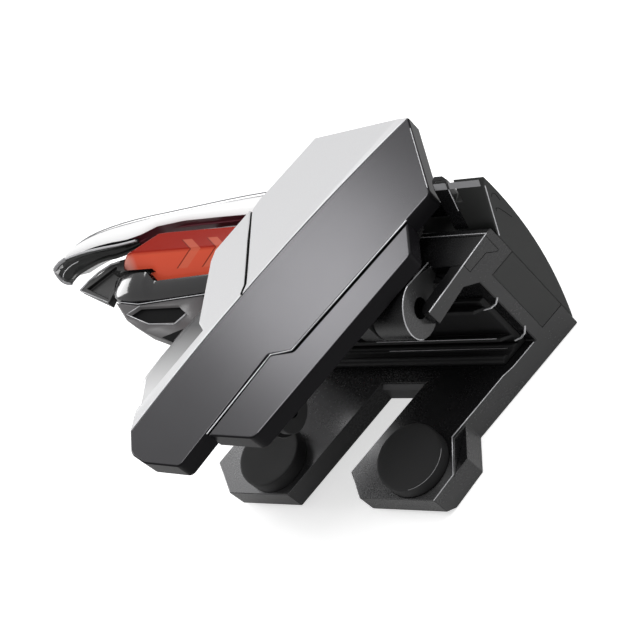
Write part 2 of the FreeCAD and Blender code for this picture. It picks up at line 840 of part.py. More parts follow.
def panel(label, corners):
    body = make_body(label + "_block")
    pad(body, outline(body, label + "_plan", "XY", corners, under), "plate_thick")
    cut = doc.addObject("Part::Cut", label)
    cut.Label = label
    cut.Base = body
    cut.Tool = slope_tool(label + "_slope")
    return cut


panel("far_panel", [
    kink + ("-plate_bow",),
    far_corner,
    ("panel_far_x", "panel_far_y"),
    ("panel_mid_x", "panel_mid_y"),
    ("split_x + split_gap", "split_y"),
    ("hook_x + 0.5 * split_gap", "hook_y"),
])
panel("near_panel", [
    near_corner + ("-plate_bow",),
    kink,
    ("hook_x", "hook_y"),
    ("split_x", "split_y"),
    ("panel_out_x", "panel_out_y"),
    ("panel_out_x", "panel_side_y"),
    ("panel_low_x", "panel_low_y"),
    ("sliver_x", "sliver_y"),
    ("sliver_end_x", "sliver_end_y"),
])

# Shell below the panels, with the wing beside the plate and an ear for the hood's pin

joint = "lever_left + shell_joint"
shell_plan = [
    (lever_x(joint, "wing_low_y"), "wing_low_y"),
    (lever_x(joint, "shell_far"), "shell_far"),
    ("panel_far_x + shell_inset", "panel_far_y - shell_inset"),
    ("panel_mid_x + shell_inset", "panel_mid_y"),
    ("panel_out_x + shell_inset", "panel_out_y"),
    ("panel_out_x + shell_inset", "panel_side_y"),
    ("wing_root_x", "wing_root_y"),
    ("wing_far_x", "wing_far_y"),
    ("wing_mid_x", "wing_mid_y"),
    ("wing_x", "wing_y"),
    ("wing_near_x", "wing_near_y"),
    ("wing_end_x", "wing_end_y"),
]
shell = make_body("lever_shell")
shell_tall = under + " - shell_low"
pad(shell, outline(shell, "Shell", "XY", shell_plan, "shell_low"), shell_tall)
round_upright(shell, shell_plan[8:12], "wing_corner")
wing_rim = rim_edges(shell.Tip.Shape, under, "wing_far_x")
dress(shell, "Fillet", wing_rim, Radius="wing_round")
pad(shell, disc(shell, "Pin_ear", "XY", "pivot_x", "pivot_y", "barrel_rad", "shell_low"), shell_tall)
pocket(shell, disc(shell, "Pin_hole", "XY", "pivot_x", "pivot_y", "hood_pin_rad", under + " - pin_cover"),
       shell_tall + " - pin_cover")

# Lever frame with the hinge lugs and the foot's lug

lever_frame = make_body("lever_frame")
frame_plan = [
    (lever_x(joint, "-frame_near"), "-frame_near"),
    ("strip_right_near - frame_inset", "-frame_near"),
    ("strip_right_far - frame_inset", "strip_far"),
    ("strip_right_far - frame_shoulder", "frame_corner_y"),
    (lever_x(joint, "frame_far") + " + frame_tip", "frame_far"),
    (lever_x(joint, "frame_far"), "frame_far"),
]
pad(lever_frame, outline(lever_frame, "Frame", "XY", frame_plan, "shell_low"), shell_tall)


def ear_room(name, right, wide):
    """Room in the lever frame for an ear of the bracket."""
    low = right + " - " + wide + " - side_play"
    high = right + " + side_play"
    front = "axis_back - knuckle_rad - ear_play"
    back = "leaf_front + ear_back"
    room = [(low, front), (high, front), (high, back), (low, back)]
    pocket(lever_frame, outline(lever_frame, name, "XY", room, under), shell_tall)


ear_room("Right_ear_room", "ear_right", "ear_right_wide")
ear_room("Left_ear_room", "ear_left", "ear_left_wide")
foot_left = "(foot_right - foot_lug - 2 * cheek_wide - 2 * foot_play)"
foot_room = [
    (foot_left + " - side_play", "foot_y - foot_rad - ear_play"),
    ("foot_right + side_play", "foot_y - foot_rad - ear_play"),
    ("foot_right + side_play", "foot_y + foot_rad + side_play"),
    (foot_left + " - side_play", "foot_y + foot_rad + side_play"),
]
pocket(lever_frame, outline(lever_frame, "Foot_room", "XY", foot_room, under), shell_tall)
lug_root = [
    ("axis_back - knuckle_rad", "axis_level"),
    ("axis_back + knuckle_rad", "axis_level"),
    ("axis_back + knuckle_rad", "shell_low + 0.5"),
    ("axis_back - knuckle_rad", "shell_low + 0.5"),
]
lug_right = "ear_right - ear_right_wide - side_play"
lug_left = "ear_left + side_play + lug_left_wide"
knuckle(lever_frame, "Lug_right", lug_right, "lug_right_wide", "knuckle_rad",
        "axis_back", "axis_level", lug_root)
knuckle(lever_frame, "Lug_left", lug_left, "lug_left_wide", "knuckle_rad",
        "axis_back", "axis_level", lug_root)
foot_lug_right = "foot_right - cheek_wide - foot_play"
foot_lug_root = [
    ("foot_y - foot_neck", "foot_level + 0.4"),
    ("foot_y + foot_lug_rad", "foot_level - 0.2"),
    ("foot_y + foot_rad + foot_neck", "shell_low + 0.6"),
    ("foot_y + foot_rad + foot_neck", under),
    ("foot_y - foot_neck", under),
]
knuckle(lever_frame, "Foot_lug", foot_lug_right, "foot_lug", "foot_lug_rad", "foot_y",
        "foot_level", foot_lug_root)
coil_room = [
    (lug_left, "axis_back - spring_rad - 2 * spring_wire"),
    (lug_right + " - lug_right_wide", "axis_back - spring_rad - 2 * spring_wire"),
    (lug_right + " - lug_right_wide", "axis_back + spring_rad + 2 * spring_wire"),
    (lug_left, "axis_back + spring_rad + 2 * spring_wire"),
]
pocket(lever_frame, outline(lever_frame, "Coil_room", "XY", coil_room, "shell_low + coil_sunk"), "coil_sunk")
lug_bore = disc(lever_frame, "Lug_bore", "YZ", "axis_back", "axis_level", "hinge_bore", FAR)
pocket(lever_frame, lug_bore, "2 * " + FAR)
foot_bore = disc(lever_frame, "Foot_bore", "YZ", "foot_y", "foot_level", "foot_pin_rad", FAR)
pocket(lever_frame, foot_bore, "2 * " + FAR)

# Touch foot: two cheeks on a sole, a pin through them and a rubber tip

foot = make_body("touch_foot")
sole = [
    ("foot_y - foot_rad + sole_bevel", "foot_sole"),
    ("foot_y + foot_rad - sole_bevel", "foot_sole"),
    ("foot_y + foot_rad", "foot_sole + sole_thick"),
    ("foot_y - foot_rad", "foot_sole + sole_thick"),
]
foot_wide = "foot_lug + 2 * cheek_wide + 2 * foot_play"
pad(foot, outline(foot, "Sole", "YZ", sole, foot_left), foot_wide)
cheek_root = [
    ("foot_y - foot_rad", "foot_sole + sole_thick - 0.1"),
    ("foot_y + foot_rad", "foot_sole + sole_thick - 0.1"),
    ("foot_y + foot_rad", "foot_level"),
    ("foot_y - foot_rad", "foot_level"),
]
for hand, right in (("Right", "foot_right"), ("Left", foot_left + " + cheek_wide")):
    knuckle(foot, hand + "_cheek", right, "cheek_wide", "foot_rad", "foot_y", "foot_level", cheek_root)
pocket(foot, disc(foot, "Cheek_bore", "YZ", "foot_y", "foot_level", "foot_pin_rad + hinge_run", FAR),
       "2 * " + FAR)
cylinder("foot_pin", "foot_pin_rad", foot_wide + " - 2 * pin_short", foot_left + " + pin_short", "foot_y",
         "foot_level", "X")
foot_mid = "(foot_right - (" + foot_wide + ") / 2)"
tip = make_body("foot_tip")
pad(tip, disc(tip, "Tip", "XY", foot_mid, "foot_y", "tip_rad", "foot_sole - tip_thick"), "tip_thick")
dress(tip, "Chamfer", rim_edges(tip.Tip.Shape, "foot_sole - tip_thick"), Size="tip_cut")

# Cradle of the trigger arm: a floor, a rounded front wall and a root under the shell

cradle = make_body("trigger_cradle")
front_wall = [
    ("cradle_left + cradle_lean", "cradle_wall"),
    ("cradle_left", "cradle_left_y"),
    ("cradle_turn_x", "cradle_turn_y"),
    ("cradle_front_x", "cradle_front_y"),
    ("cradle_end", "cradle_end_y"),
    ("cradle_end", "cradle_wall"),
]
pad(cradle, outline(cradle, "Front_wall", "XY", front_wall, "cradle_low"), "cradle_top - cradle_low")
round_upright(cradle, front_wall[1:3], "cradle_nose")
dress(cradle, "Fillet", rim_edges(cradle.Tip.Shape, "cradle_top"), Radius="cradle_round")
tab = [
    ("tab_left", "cradle_wall"),
    ("tab_left", "cradle_wall - tab_thick"),
    ("tab_right - tab_slope", "cradle_wall - tab_thick"),
    ("tab_right", "cradle_wall"),
]
pad(cradle, outline(cradle, "Tab", "XY", tab, "cradle_top - cradle_round"), "cradle_round + tab_tall")
floor_plan = [
    ("cradle_step", "cradle_wall - 0.5"),
    ("cradle_end", "cradle_wall - 0.5"),
    ("cradle_root", "root_front"),
    ("cradle_root", "cradle_back"),
    ("cradle_step + cradle_cut", "cradle_back"),
    ("cradle_step", "cradle_back - cradle_cut"),
]
pad(cradle, outline(cradle, "Floor", "XY", floor_plan, "cradle_low"), "cradle_floor - cradle_low")
root_plan = [
    ("root_left", "cradle_wall"),
    ("cradle_root", "cradle_wall"),
    ("cradle_root", "cradle_back"),
    ("root_left", "cradle_back"),
]
pad(cradle, outline(cradle, "Root", "XY", root_plan, "cradle_floor - 0.1"), "shell_low - cradle_floor + 0.1")

# Orange core in the cradle, with a sloping front

core = make_body("trigger_core")
core_plan = [
    ("core_left", "cradle_wall"),
    ("core_right", "cradle_wall"),
    ("core_right", "core_back"),
    ("core_left + core_slant", "core_back"),
]
pad(core, outline(core, "Core", "XY", core_plan, "cradle_floor"), "core_top - cradle_floor")
core_slope = [
    ("core_crease", "core_top"),
    ("cradle_wall", "core_low_edge"),
    ("0", "core_low_edge"),
    ("0", "2 * core_top"),
    ("core_crease", "2 * core_top"),
]
pocket(core, outline(core, "Core_slope", "YZ", core_slope, FAR), "2 * " + FAR)

# Grey lower housing with a six-sided recess and its insert

housing = make_body("lower_housing")
house_plan = [
    ("cradle_turn_x", "cradle_turn_y - house_gap"),
    ("house_mid_x", "house_mid_y"),
    ("house_low_x", "house_low_y"),
    ("house_tip_x", "house_tip_y"),
    ("house_right", "house_right_y"),
    ("house_right - house_lean", "house_corner_y"),
    ("house_end", "house_end_y - house_gap"),
    ("cradle_front_x", "cradle_front_y - house_gap"),
]
pad(housing, outline(housing, "Housing", "XY", house_plan, "cradle_low"), "house_top - cradle_low")
round_upright(housing, house_plan[1:3], "house_nose")
dress(housing, "Chamfer", rim_edges(housing.Tip.Shape, "house_top"), Size="edge_cut")
hexagon = [
    ("hex_left", "hex_mid"),
    ("hex_left + hex_low_cut", "hex_low"),
    ("hex_right - hex_end_cut", "hex_low"),
    ("hex_right", "hex_mid"),
    ("hex_right - hex_cut", "hex_top"),
    ("hex_left + hex_cut", "hex_top"),
]
pocket(housing, outline(housing, "Hexagon", "XY", hexagon, "house_top"), "hex_deep")
insert = make_body("recess_insert")
pad(insert, outline(insert, "Insert", "XY", hexagon, "house_top - hex_deep"), "insert_thick")

# Lower lip at the end of the cradle

lip = make_body("lower_lip")
lip_plan = [
    ("lip_tip_x", "lip_tip_y"),
    ("lip_near_x", "lip_near_y"),
    ("cradle_left - lip_gap", "cradle_left_y"),
    ("cradle_left + cradle_lean - lip_gap", "cradle_wall + lip_gap"),
    ("cradle_step - lip_gap", "cradle_wall + lip_gap"),
    ("cradle_step - lip_gap", "lip_root_y"),
    ("lip_far_x", "lip_far_y"),
]
pad(lip, outline(lip, "Lip", "XY", lip_plan, "lip_low"), "lip_top - lip_low")
lip_hollow = [
    ("lip_tip_x + 2 * lip_rim", "lip_tip_y + lip_gap"),
    ("lip_near_x - 0.4 * lip_rim", "lip_near_y + lip_rim"),
    ("cradle_left - lip_rim", "cradle_left_y"),
    ("cradle_left - 2 * lip_gap", "cradle_wall + lip_rim"),
    ("lip_far_x + 0.4 * lip_rim", "lip_far_y - lip_rim"),
]
pocket(lip, outline(lip, "Lip_hollow", "XY", lip_hollow, "lip_top"), "lip_deep")

# Hood: a finger wall that curves to a nose, a top flange and a barrel round the pin

hood = make_body("trigger_hood")
wall_plan = [
    ("pivot_x", "hood_root_y - hood_wall"),
    ("pivot_x", "hood_root_y"),
    ("hood_bend_x", "hood_bend_y", "hood_curve"),
    ("hood_nose_x", "hood_nose_y"),
    ("hood_heel_x", "hood_heel_y", "-inner_curve"),
    ("hood_bend_x", "hood_bend_y - hood_wall"),
]
hood_root_top = "shell_low - hood_play"
pad(hood, outline(hood, "Wall", "XY", wall_plan, "hood_low"), hood_root_top + " - hood_low")
flange = [
    ("flange_end", "flange_near"),
    ("flange_end", "hood_far"),
    ("hood_bend_x", "hood_bend_y", "hood_curve"),
    ("hood_nose_x", "hood_nose_y"),
    ("hood_heel_x", "hood_heel_y"),
    ("flange_nose_x", "flange_nose_y"),
    ("flange_wide_x", "flange_wide_y"),
    ("flange_turn_x", "flange_turn_y"),
]
pad(hood, outline(hood, "Flange", "XY", flange, "hood_top - hood_flange"), "hood_flange")
pad(hood, disc(hood, "Barrel", "XY", "pivot_x", "pivot_y", "barrel_rad", "hood_low"),
    hood_root_top + " - hood_low")
pocket(hood, disc(hood, "Barrel_bore", "XY", "pivot_x", "pivot_y", "hood_pin_rad + hinge_run", FAR), FAR)
liner = make_body("hood_liner")
liner_plan = [
    ("flange_end", "flange_near"),
    ("flange_end", "flange_near + liner_thick"),
    ("flange_turn_x", "flange_turn_y + liner_thick"),
    ("flange_wide_x - liner_lean", "flange_wide_y + liner_thick"),
    ("flange_wide_x", "flange_wide_y"),
    ("flange_turn_x", "flange_turn_y"),
]
pad(liner, outline(liner, "Liner", "XY", liner_plan, "liner_low"), "hood_top - hood_flange - liner_low")

# Upright pin of the hood, headed below its return spring

hood_pin = make_body("hood_pin")
pad(hood_pin, disc(hood_pin, "Shaft", "XY", "pivot_x", "pivot_y", "hood_pin_rad", "hood_pin_low"),
    under + " - pin_cover - hood_pin_low")
pad(hood_pin, disc(hood_pin, "Head", "XY", "pivot_x", "pivot_y", "hood_pin_head",
                   "hood_pin_low - head_thick"), "head_thick + head_root")

# Click switch on the back of the cradle, facing the hood's wall

switch = make_body("click_switch")
case = [
    ("switch_x", "cradle_back"),
    ("switch_x + switch_wide", "cradle_back"),
    ("switch_x + switch_wide", "cradle_back + switch_deep"),
    ("switch_x", "cradle_back + switch_deep"),
]
pad(switch, outline(switch, "Case", "XY", case, "switch_low"), "switch_tall")
stud = disc(switch, "Plunger", "XZ", "switch_x + switch_wide / 2", "switch_low + switch_tall / 2",
            "plunger_rad", "-cradle_back - switch_deep - plunger_reach")
pad(switch, stud, "plunger_reach + 0.1")


def coil(label, along, out, y, turn, radius, turns):
    """A closed-wound torsion coil as a grooved tube, one ridge for each turn of the wire."""
    outer = [(along, out + " + " + radius)]
    for ridge in range(turns):
        outer += [
            (along + " + (%d + 0.5) * spring_pitch" % ridge, out + " + " + radius + " + spring_wire"),
            (along + " + %d * spring_pitch" % (ridge + 1), out + " + " + radius),
        ]
    inner = out + " + " + radius + " - spring_wire"
    corners = outer + [(along + " + %d * spring_pitch" % turns, inner), (along, inner)]
    if turn == "Z":
        corners = [(x, z) for z, x in corners]
    spring = doc.addObject("Part::Revolution", label)
    spring.Label = label
    spring.Source = upright_sketch(label + "_section", corners, y)
    spring.Axis = FreeCAD.Vector(1, 0, 0) if turn == "X" else FreeCAD.Vector(0, 0, 1)
    spring.setExpression("Base." + ("z" if turn == "X" else "x"), bind(out))
    spring.setExpression("Base.y", bind(y))
    spring.setExpression("Angle", bind("360"))
    spring.Solid = True
    doc.recompute()


coil("hinge_spring", lug_left + " + spring_gap", "axis_level", "axis_back", "X", "spring_rad", 3)
coil("hood_spring", "hood_pin_low + head_root + spring_gap", "pivot_x", "pivot_y", "Z",
     "hood_coil_rad", 2)


# Screws: each hole is cut in the pieces that it passes, and the set is one sub-part


def hole(body, name, plane, spot, radius, start, depth):
    pocket(body, disc(body, name, plane, spot[0], spot[1], radius, start), depth)


def screw_set(label, ends, turn, shaft, head_low):
    """Screws along one axis; ends are their lowest points, head_low puts the head there."""
    rods = []
    for index, end in enumerate(ends):
        head_at = list(end)
        shaft_at = list(end)
        along = "xyz".index(turn.lower())
        if head_low:
            shaft_at[along] += " + head_tall"
        else:
            head_at[along] += " + " + shaft
        tag = label + "_%d" % index
        rods.append(cylinder(tag + "_head", "screw_head", "head_tall", *head_at, turn))
        rods.append(cylinder(tag + "_shaft", "screw_rad", shaft, *shaft_at, turn))
    joined = doc.addObject("Part::MultiFuse", label)
    joined.Label = label
    joined.Shapes = rods


plate_spots = [("9.5", "20.5"), ("-4.5", "-2.9")]
for index, spot in enumerate(plate_spots):
    name = "Screw_%d" % index
    hole(lever_frame, name + "_head", "XY", spot, "screw_head", "shell_low + head_tall", "head_tall")
    hole(lever_frame, name + "_way", "XY", spot, "screw_rad", under, shell_tall)
    hole(top_plate, name + "_plate", "XY", spot, "screw_rad", under + " + screw_bite", "screw_bite")
screw_set("lever_screws", [spot + ("shell_low",) for spot in plate_spots], "Z",
          shell_tall + " - head_tall + screw_bite", True)

leaf_floor = "leaf_level - leaf_thick"
leaf_spots = [("bracket_screw_x", "bracket_screw_y")]
for index, spot in enumerate(leaf_spots):
    name = "Leaf_screw_%d" % index
    hole(bracket, name + "_head", "XY", spot, "screw_head", "arm_top",
         "arm_top - leaf_level + head_tall")
    hole(bracket, name + "_way", "XY", spot, "screw_rad", "arm_top", "arm_top - " + "(" + leaf_floor + ")")
    hole(frame, name + "_arm", "XY", spot, "screw_rad", leaf_floor, "screw_deep")
screw_set("bracket_screws", [spot + (leaf_floor + " - screw_deep",) for spot in leaf_spots], "Z",
          "screw_deep + leaf_thick - head_tall", False)

cover_spots = [("cover_screw_right", "cover_screw_high"), ("cover_screw_foot", "cover_screw_low")]
for index, spot in enumerate(cover_spots):
    name = "Cover_screw_%d" % index
    hole(cover, name + "_head", "XZ", spot, "screw_head", "-web_out - cover_seat", "3")
    hole(cover, name + "_way", "XZ", spot, "screw_rad", "-web_out", "3")
    hole(frame, name + "_web", "XZ", spot, "screw_rad", "screw_deep - web_out", "screw_deep")
screw_set("cover_screws", [(spot[0], "web_out - screw_deep", spot[1]) for spot in cover_spots], "Y",
          "screw_deep + cover_seat", False)

root_spots = [("cradle_screw_left", "cradle_screw_y"), ("cradle_screw_right", "cradle_screw_y")]
for index, spot in enumerate(root_spots):
    name = "Root_screw_%d" % index
    hole(cradle, name + "_head", "XY", spot, "screw_head", "cradle_low + head_tall", "head_tall")
    hole(cradle, name + "_way", "XY", spot, "screw_rad", "shell_low", "shell_low - cradle_low")
    hole(shell, name + "_shell", "XY", spot, "screw_rad", "shell_low + screw_bite", "screw_bite")
screw_set("cradle_screws", [spot + ("cradle_low",) for spot in root_spots], "Z",
          "shell_low - cradle_low - head_tall + screw_bite", True)

# Checks, then one STEP file for each sub-part

doc.recompute()
for item in doc.Objects:
    if "Invalid" in item.State or "Error" in item.State:
        raise ValueError(item.Name + " failed: " + str(item.State))
pieces = [item for item in doc.RootObjects if hasattr(item, "Shape") and item.Label != "Sizes"]
for piece in pieces:
    if piece.Shape.isNull() or not piece.Shape.isValid():
        raise ValueError(piece.Label + " has no valid shape")
for piece in pieces:
    piece.Shape.exportStep("parts/" + piece.Label + ".step")
    print(piece.Label, len(piece.Shape.Solids), round(piece.Shape.Volume, 2))
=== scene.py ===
import json
import math
import bmesh
import bpy
import numpy as np
from mathutils import Matrix, Vector

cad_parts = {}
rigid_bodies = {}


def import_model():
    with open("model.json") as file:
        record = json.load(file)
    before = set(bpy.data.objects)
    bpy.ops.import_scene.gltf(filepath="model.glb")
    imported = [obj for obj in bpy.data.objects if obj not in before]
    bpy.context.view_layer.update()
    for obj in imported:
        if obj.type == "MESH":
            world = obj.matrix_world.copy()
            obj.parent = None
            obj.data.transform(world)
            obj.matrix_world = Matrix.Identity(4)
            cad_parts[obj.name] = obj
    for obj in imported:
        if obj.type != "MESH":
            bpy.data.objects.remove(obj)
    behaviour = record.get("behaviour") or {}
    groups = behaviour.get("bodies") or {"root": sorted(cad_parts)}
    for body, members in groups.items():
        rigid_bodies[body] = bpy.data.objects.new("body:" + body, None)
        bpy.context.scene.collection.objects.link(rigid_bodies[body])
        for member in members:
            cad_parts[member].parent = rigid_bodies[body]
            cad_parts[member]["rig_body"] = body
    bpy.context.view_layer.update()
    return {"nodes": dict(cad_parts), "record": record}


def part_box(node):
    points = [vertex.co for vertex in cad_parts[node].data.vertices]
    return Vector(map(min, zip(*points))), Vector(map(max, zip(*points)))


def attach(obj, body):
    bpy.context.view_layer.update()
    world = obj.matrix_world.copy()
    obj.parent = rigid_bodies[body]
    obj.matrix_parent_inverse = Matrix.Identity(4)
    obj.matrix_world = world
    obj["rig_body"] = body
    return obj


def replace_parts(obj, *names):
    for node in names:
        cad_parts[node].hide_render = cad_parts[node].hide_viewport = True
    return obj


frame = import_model()

MM = 0.001


# Places that several pieces share, in millimetres

def centre(node):
    """The middle of a node's box at rest, in millimetres."""
    low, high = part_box(node)
    return (np.array(low) + np.array(high)) / (2.0 * MM)


HINGE = centre("hinge_pin")[1:]
FOOT_PIN = centre("foot_pin")[1:]
HOOD_PIVOT = centre("hood_pin")[:2]
PAD_SIDE = 9.6
CLIP_SLANT = math.tan(math.radians(31.6))
LEVER_SLANT = math.tan(math.radians(33.67))
ARM_SIDE = 11.26


# Shader maths: a socket that can be used in sums, and a node tree that adds its own nodes

class Value:
    """A node's output. Arithmetic on it adds Math nodes and gives another one."""

    def __init__(self, nodes, socket):
        self.nodes = nodes
        self.socket = socket

    def maths(self, operation, *others):
        values = dict(enumerate((self,) + others))
        return self.nodes.add("ShaderNodeMath", {"operation": operation}, values)

    def reflected(self, operation, first):
        """The operation with a number before this one, as in 1 - mask."""
        return self.nodes.add("ShaderNodeMath", {"operation": operation}, {0: first, 1: self})

    def __add__(self, other):
        return self.maths("ADD", other)

    def __sub__(self, other):
        return self.maths("SUBTRACT", other)

    def __mul__(self, other):
        return self.maths("MULTIPLY", other)

    def __truediv__(self, other):
        return self.maths("DIVIDE", other)

    def __rsub__(self, other):
        return self.reflected("SUBTRACT", other)

    def __rtruediv__(self, other):
        return self.reflected("DIVIDE", other)

    __radd__ = __add__
    __rmul__ = __mul__

    def clamped(self):
        return self.maths("MINIMUM", 1.0).maths("MAXIMUM", 0.0)

    def below(self, limit, blur):
        """1 where this is under the limit and 0 over it, turning over across the blur."""
        return ((limit - self) / blur + 0.5).clamped()

    def above(self, limit, blur):
        """0 where this is under the limit and 1 over it."""
        return 1.0 - self.below(limit, blur)

    def within(self, low, high, blur):
        return self.above(low, blur) * self.below(high, blur)


class Nodes:
    """A node tree, with one method that adds any node to it."""

    def __init__(self, tree):
        self.tree = tree

    def add(self, kind, settings, values, output=0):
        """Adds a node: its settings first, then the numbers or links of its sockets."""
        node = self.tree.nodes.new(kind)
        for key, setting in settings.items():
            setattr(node, key, setting)
        for key, value in values.items():
            self.give(node.inputs[key], value)
        return Value(self, node.outputs[output])

    def give(self, socket, value):
        """Links a value to a socket, or sets the socket to a number or a colour."""
        if isinstance(value, Value):
            self.tree.links.new(value.socket, socket)
        else:
            socket.default_value = value


class Finish(Nodes):
    """A material: one shader, and the patterns that its nodes make."""

    def __init__(self, name, colour, roughness, **settings):
        self.material = bpy.data.materials.new(name)
        self.material.use_nodes = True
        super().__init__(self.material.node_tree)
        self.shader = self.tree.nodes["Principled BSDF"]
        self.colour = colour
        self.roughness = roughness
        self.feed("Base Color", (*colour, 1.0))
        self.feed("Roughness", roughness)
        for socket, value in settings.items():
            self.feed(socket.replace("_", " "), value)
        self.place = self.add("ShaderNodeTexCoord", {}, {}, "Object")

    def feed(self, socket, value):
        self.give(self.shader.inputs[socket], value)

    def noise(self, size, detail=2.0):
        """Soft noise from 0 to 1 whose spots are about size across, in millimetres."""
        values = {"Vector": self.place, "Scale": 1.0 / (size * MM), "Detail": detail}
        return self.add("ShaderNodeTexNoise", {}, values)

    def mix(self, factor, first, second):
        """One colour going over to another as the factor goes from 0 to 1."""
        values = {0: factor, 6: first, 7: second}
        for key in (6, 7):
            if not isinstance(values[key], Value):
                values[key] = (*values[key], 1.0)
        return self.add("ShaderNodeMix", {"data_type": "RGBA"}, values, 2)

    def facing(self, axis):
        """How far the surface's own normal looks along the object's X, Y or Z, from -1 to 1."""
        normal = self.add("ShaderNodeTexCoord", {}, {}, "Normal")
        return self.add("ShaderNodeSeparateXYZ", {}, {"Vector": normal}, axis)

    def axis(self, name):
        """The object's X, Y or Z, in millimetres."""
        split = self.add("ShaderNodeSeparateXYZ", {}, {"Vector": self.place}, name)
        return split * (1.0 / MM)

    def bump(self, height, depth):
        """Raises the surface by height times depth, which is in millimetres."""
        values = {"Height": height, "Distance": depth * MM}
        self.feed("Normal", self.add("ShaderNodeBump", {}, values))

    def grain(self, size, depth, mottle=0.12, gloss=0.06):
        """Moulded grain: fine bumps, a faint mottle in the colour and in the gloss."""
        fine = self.noise(size, 3.0)
        broad = self.noise(size * 24.0, 2.0)
        dark = tuple(part * (1.0 - mottle) for part in self.colour)
        light = tuple(min(1.0, part * (1.0 + mottle)) for part in self.colour)
        self.feed("Base Color", self.mix(broad, dark, light))
        self.feed("Roughness", fine * gloss + broad * gloss + (self.roughness - gloss))
        self.bump(fine, depth)


def moulded_black():
    """
    Satin black moulded plastic. Painted reflection: the fingers' upper faces carry a grey metallic
    sheen that fades towards the corner. Painted light: faces that look to the right are a little
    greyer.
    """
    finish = Finish("moulded_black", (0.006, 0.006, 0.0065), 0.27, Specular_IOR_Level=0.42)
    finish.grain(0.3, 0.0006, 0.1, 0.03)
    # Painted reflection: a mask of the fingers' low upward faces, fading towards the corner.
    reach = finish.axis("Y") + finish.axis("X") * 0.5
    low = finish.axis("Z").below(4.7, 0.2)
    top = finish.facing("Z").above(0.8, 0.2) * low * reach.below(5.6, 4.4)
    # Painted light: faces that look to the right are painted greyer.
    right = finish.facing("X").above(0.75, 0.2)
    flank = finish.mix(right, finish.colour, (0.045, 0.045, 0.046))
    finish.feed("Base Color", finish.mix(top, flank, (0.2, 0.2, 0.204)))
    finish.feed("Metallic", top * 0.85)
    return finish.material


def cover_black():
    """The clip's screwed cover and the hood's dark inside: a flatter black with a green cast."""
    finish = Finish("cover_black", (0.022, 0.0228, 0.0222), 0.36, Specular_IOR_Level=0.42)
    finish.grain(0.25, 0.003, 0.12, 0.03)
    return finish.material


def rubber_black():
    """Matt black rubber with a dusty bloom."""
    finish = Finish("rubber_black", (0.006, 0.006, 0.0065), 0.62, Specular_IOR_Level=0.3)
    finish.grain(0.10, 0.016, 0.25, 0.08)
    return finish.material


def dark_paint():
    """Dark metallic paint on the faces that look up; the sides are painted shade, near black and
    hardly shiny.
    """
    finish = Finish("dark_paint", (0.10, 0.10, 0.105), 0.26, IOR=1.12)
    flakes = finish.noise(0.05, 0.0)
    broad = finish.noise(6.0)
    # Painted shade: one paint, lit where it looks up and painted near black on the sides.
    up = finish.facing("Z").above(0.85, 0.2)
    paint = finish.mix(flakes * 0.5 + broad * 0.5, (0.084, 0.083, 0.087), (0.096, 0.095, 0.10))
    finish.feed("Base Color", finish.mix(up, (0.012, 0.0115, 0.013), paint))
    finish.feed("Metallic", up * 0.85)
    finish.feed("Roughness", flakes * 0.02 + broad * 0.03 + 0.19)
    return finish.material


def silver_paint():
    """Light silver paint with a fine flake."""
    finish = Finish("silver_paint", (0.68, 0.68, 0.69), 0.34, Metallic=0.2, Coat_Weight=0.2,
                    Coat_Roughness=0.15)
    flakes = finish.noise(0.05, 0.0)
    finish.feed("Base Color", finish.mix(flakes, (0.64, 0.64, 0.65), (0.72, 0.72, 0.73)))
    finish.feed("Roughness", flakes * 0.08 + 0.3)
    finish.bump(finish.noise(0.15), 0.003)
    return finish.material


def flank_grey():
    """Satin lacquer on the wing below the silver panels, painted light: lighter towards its near
    end, darker towards the plate.
    """
    finish = Finish("flank_grey", (0.22, 0.22, 0.225), 0.3, Metallic=0.3)
    # Painted light and shade: the colour goes from dark by the plate to near white at the near end.
    painted_light_fade = ((7.4 - finish.axis("Y")) / 8.0).clamped()
    finish.feed("Base Color", finish.mix(painted_light_fade, (0.07, 0.07, 0.072), (0.66, 0.66, 0.665)))
    finish.feed("Roughness", finish.noise(0.3) * 0.05 + 0.28)
    return finish.material


def white_gloss():
    """White glossy plastic, faintly uneven, as a thin moulding is."""
    finish = Finish("white_gloss", (0.95, 0.95, 0.95), 0.22, Coat_Weight=0.25,
                    Coat_Roughness=0.06)
    broad = finish.noise(3.5)
    finish.feed("Base Color", finish.mix(broad, (0.95, 0.95, 0.955), (0.975, 0.975, 0.975)))
    finish.feed("Roughness", broad * 0.08 + 0.18)
    finish.bump(broad, 0.004)
    return finish.material


def dark_gloss():
    """Dark glossy plastic."""
    finish = Finish("dark_gloss", (0.012, 0.0115, 0.0125), 0.14, Specular_IOR_Level=0.6,
                    Coat_Weight=0.5, Coat_Roughness=0.06)
    finish.grain(1.5, 0.0006, 0.12, 0.03)
    return finish.material


def joint_black_and_recess_shade():
    """Dull black: painted shade at the bottom of recesses and in bores, and the dark of joints such
    as the panels'.
    """
    finish = Finish("joint_black_and_recess_shade", (0.003, 0.003, 0.0033), 0.5, Specular_IOR_Level=0.05)
    finish.grain(0.2, 0.002, 0.15, 0.04)
    return finish.material


def grey_gloss():
    """Dark grey plastic with a soft gloss."""
    finish = Finish("grey_gloss", (0.098, 0.094, 0.096), 0.4, Specular_IOR_Level=0.2,
                    Coat_Weight=0.02, Coat_Roughness=0.1)
    finish.grain(0.4, 0.004, 0.10, 0.04)
    return finish.material


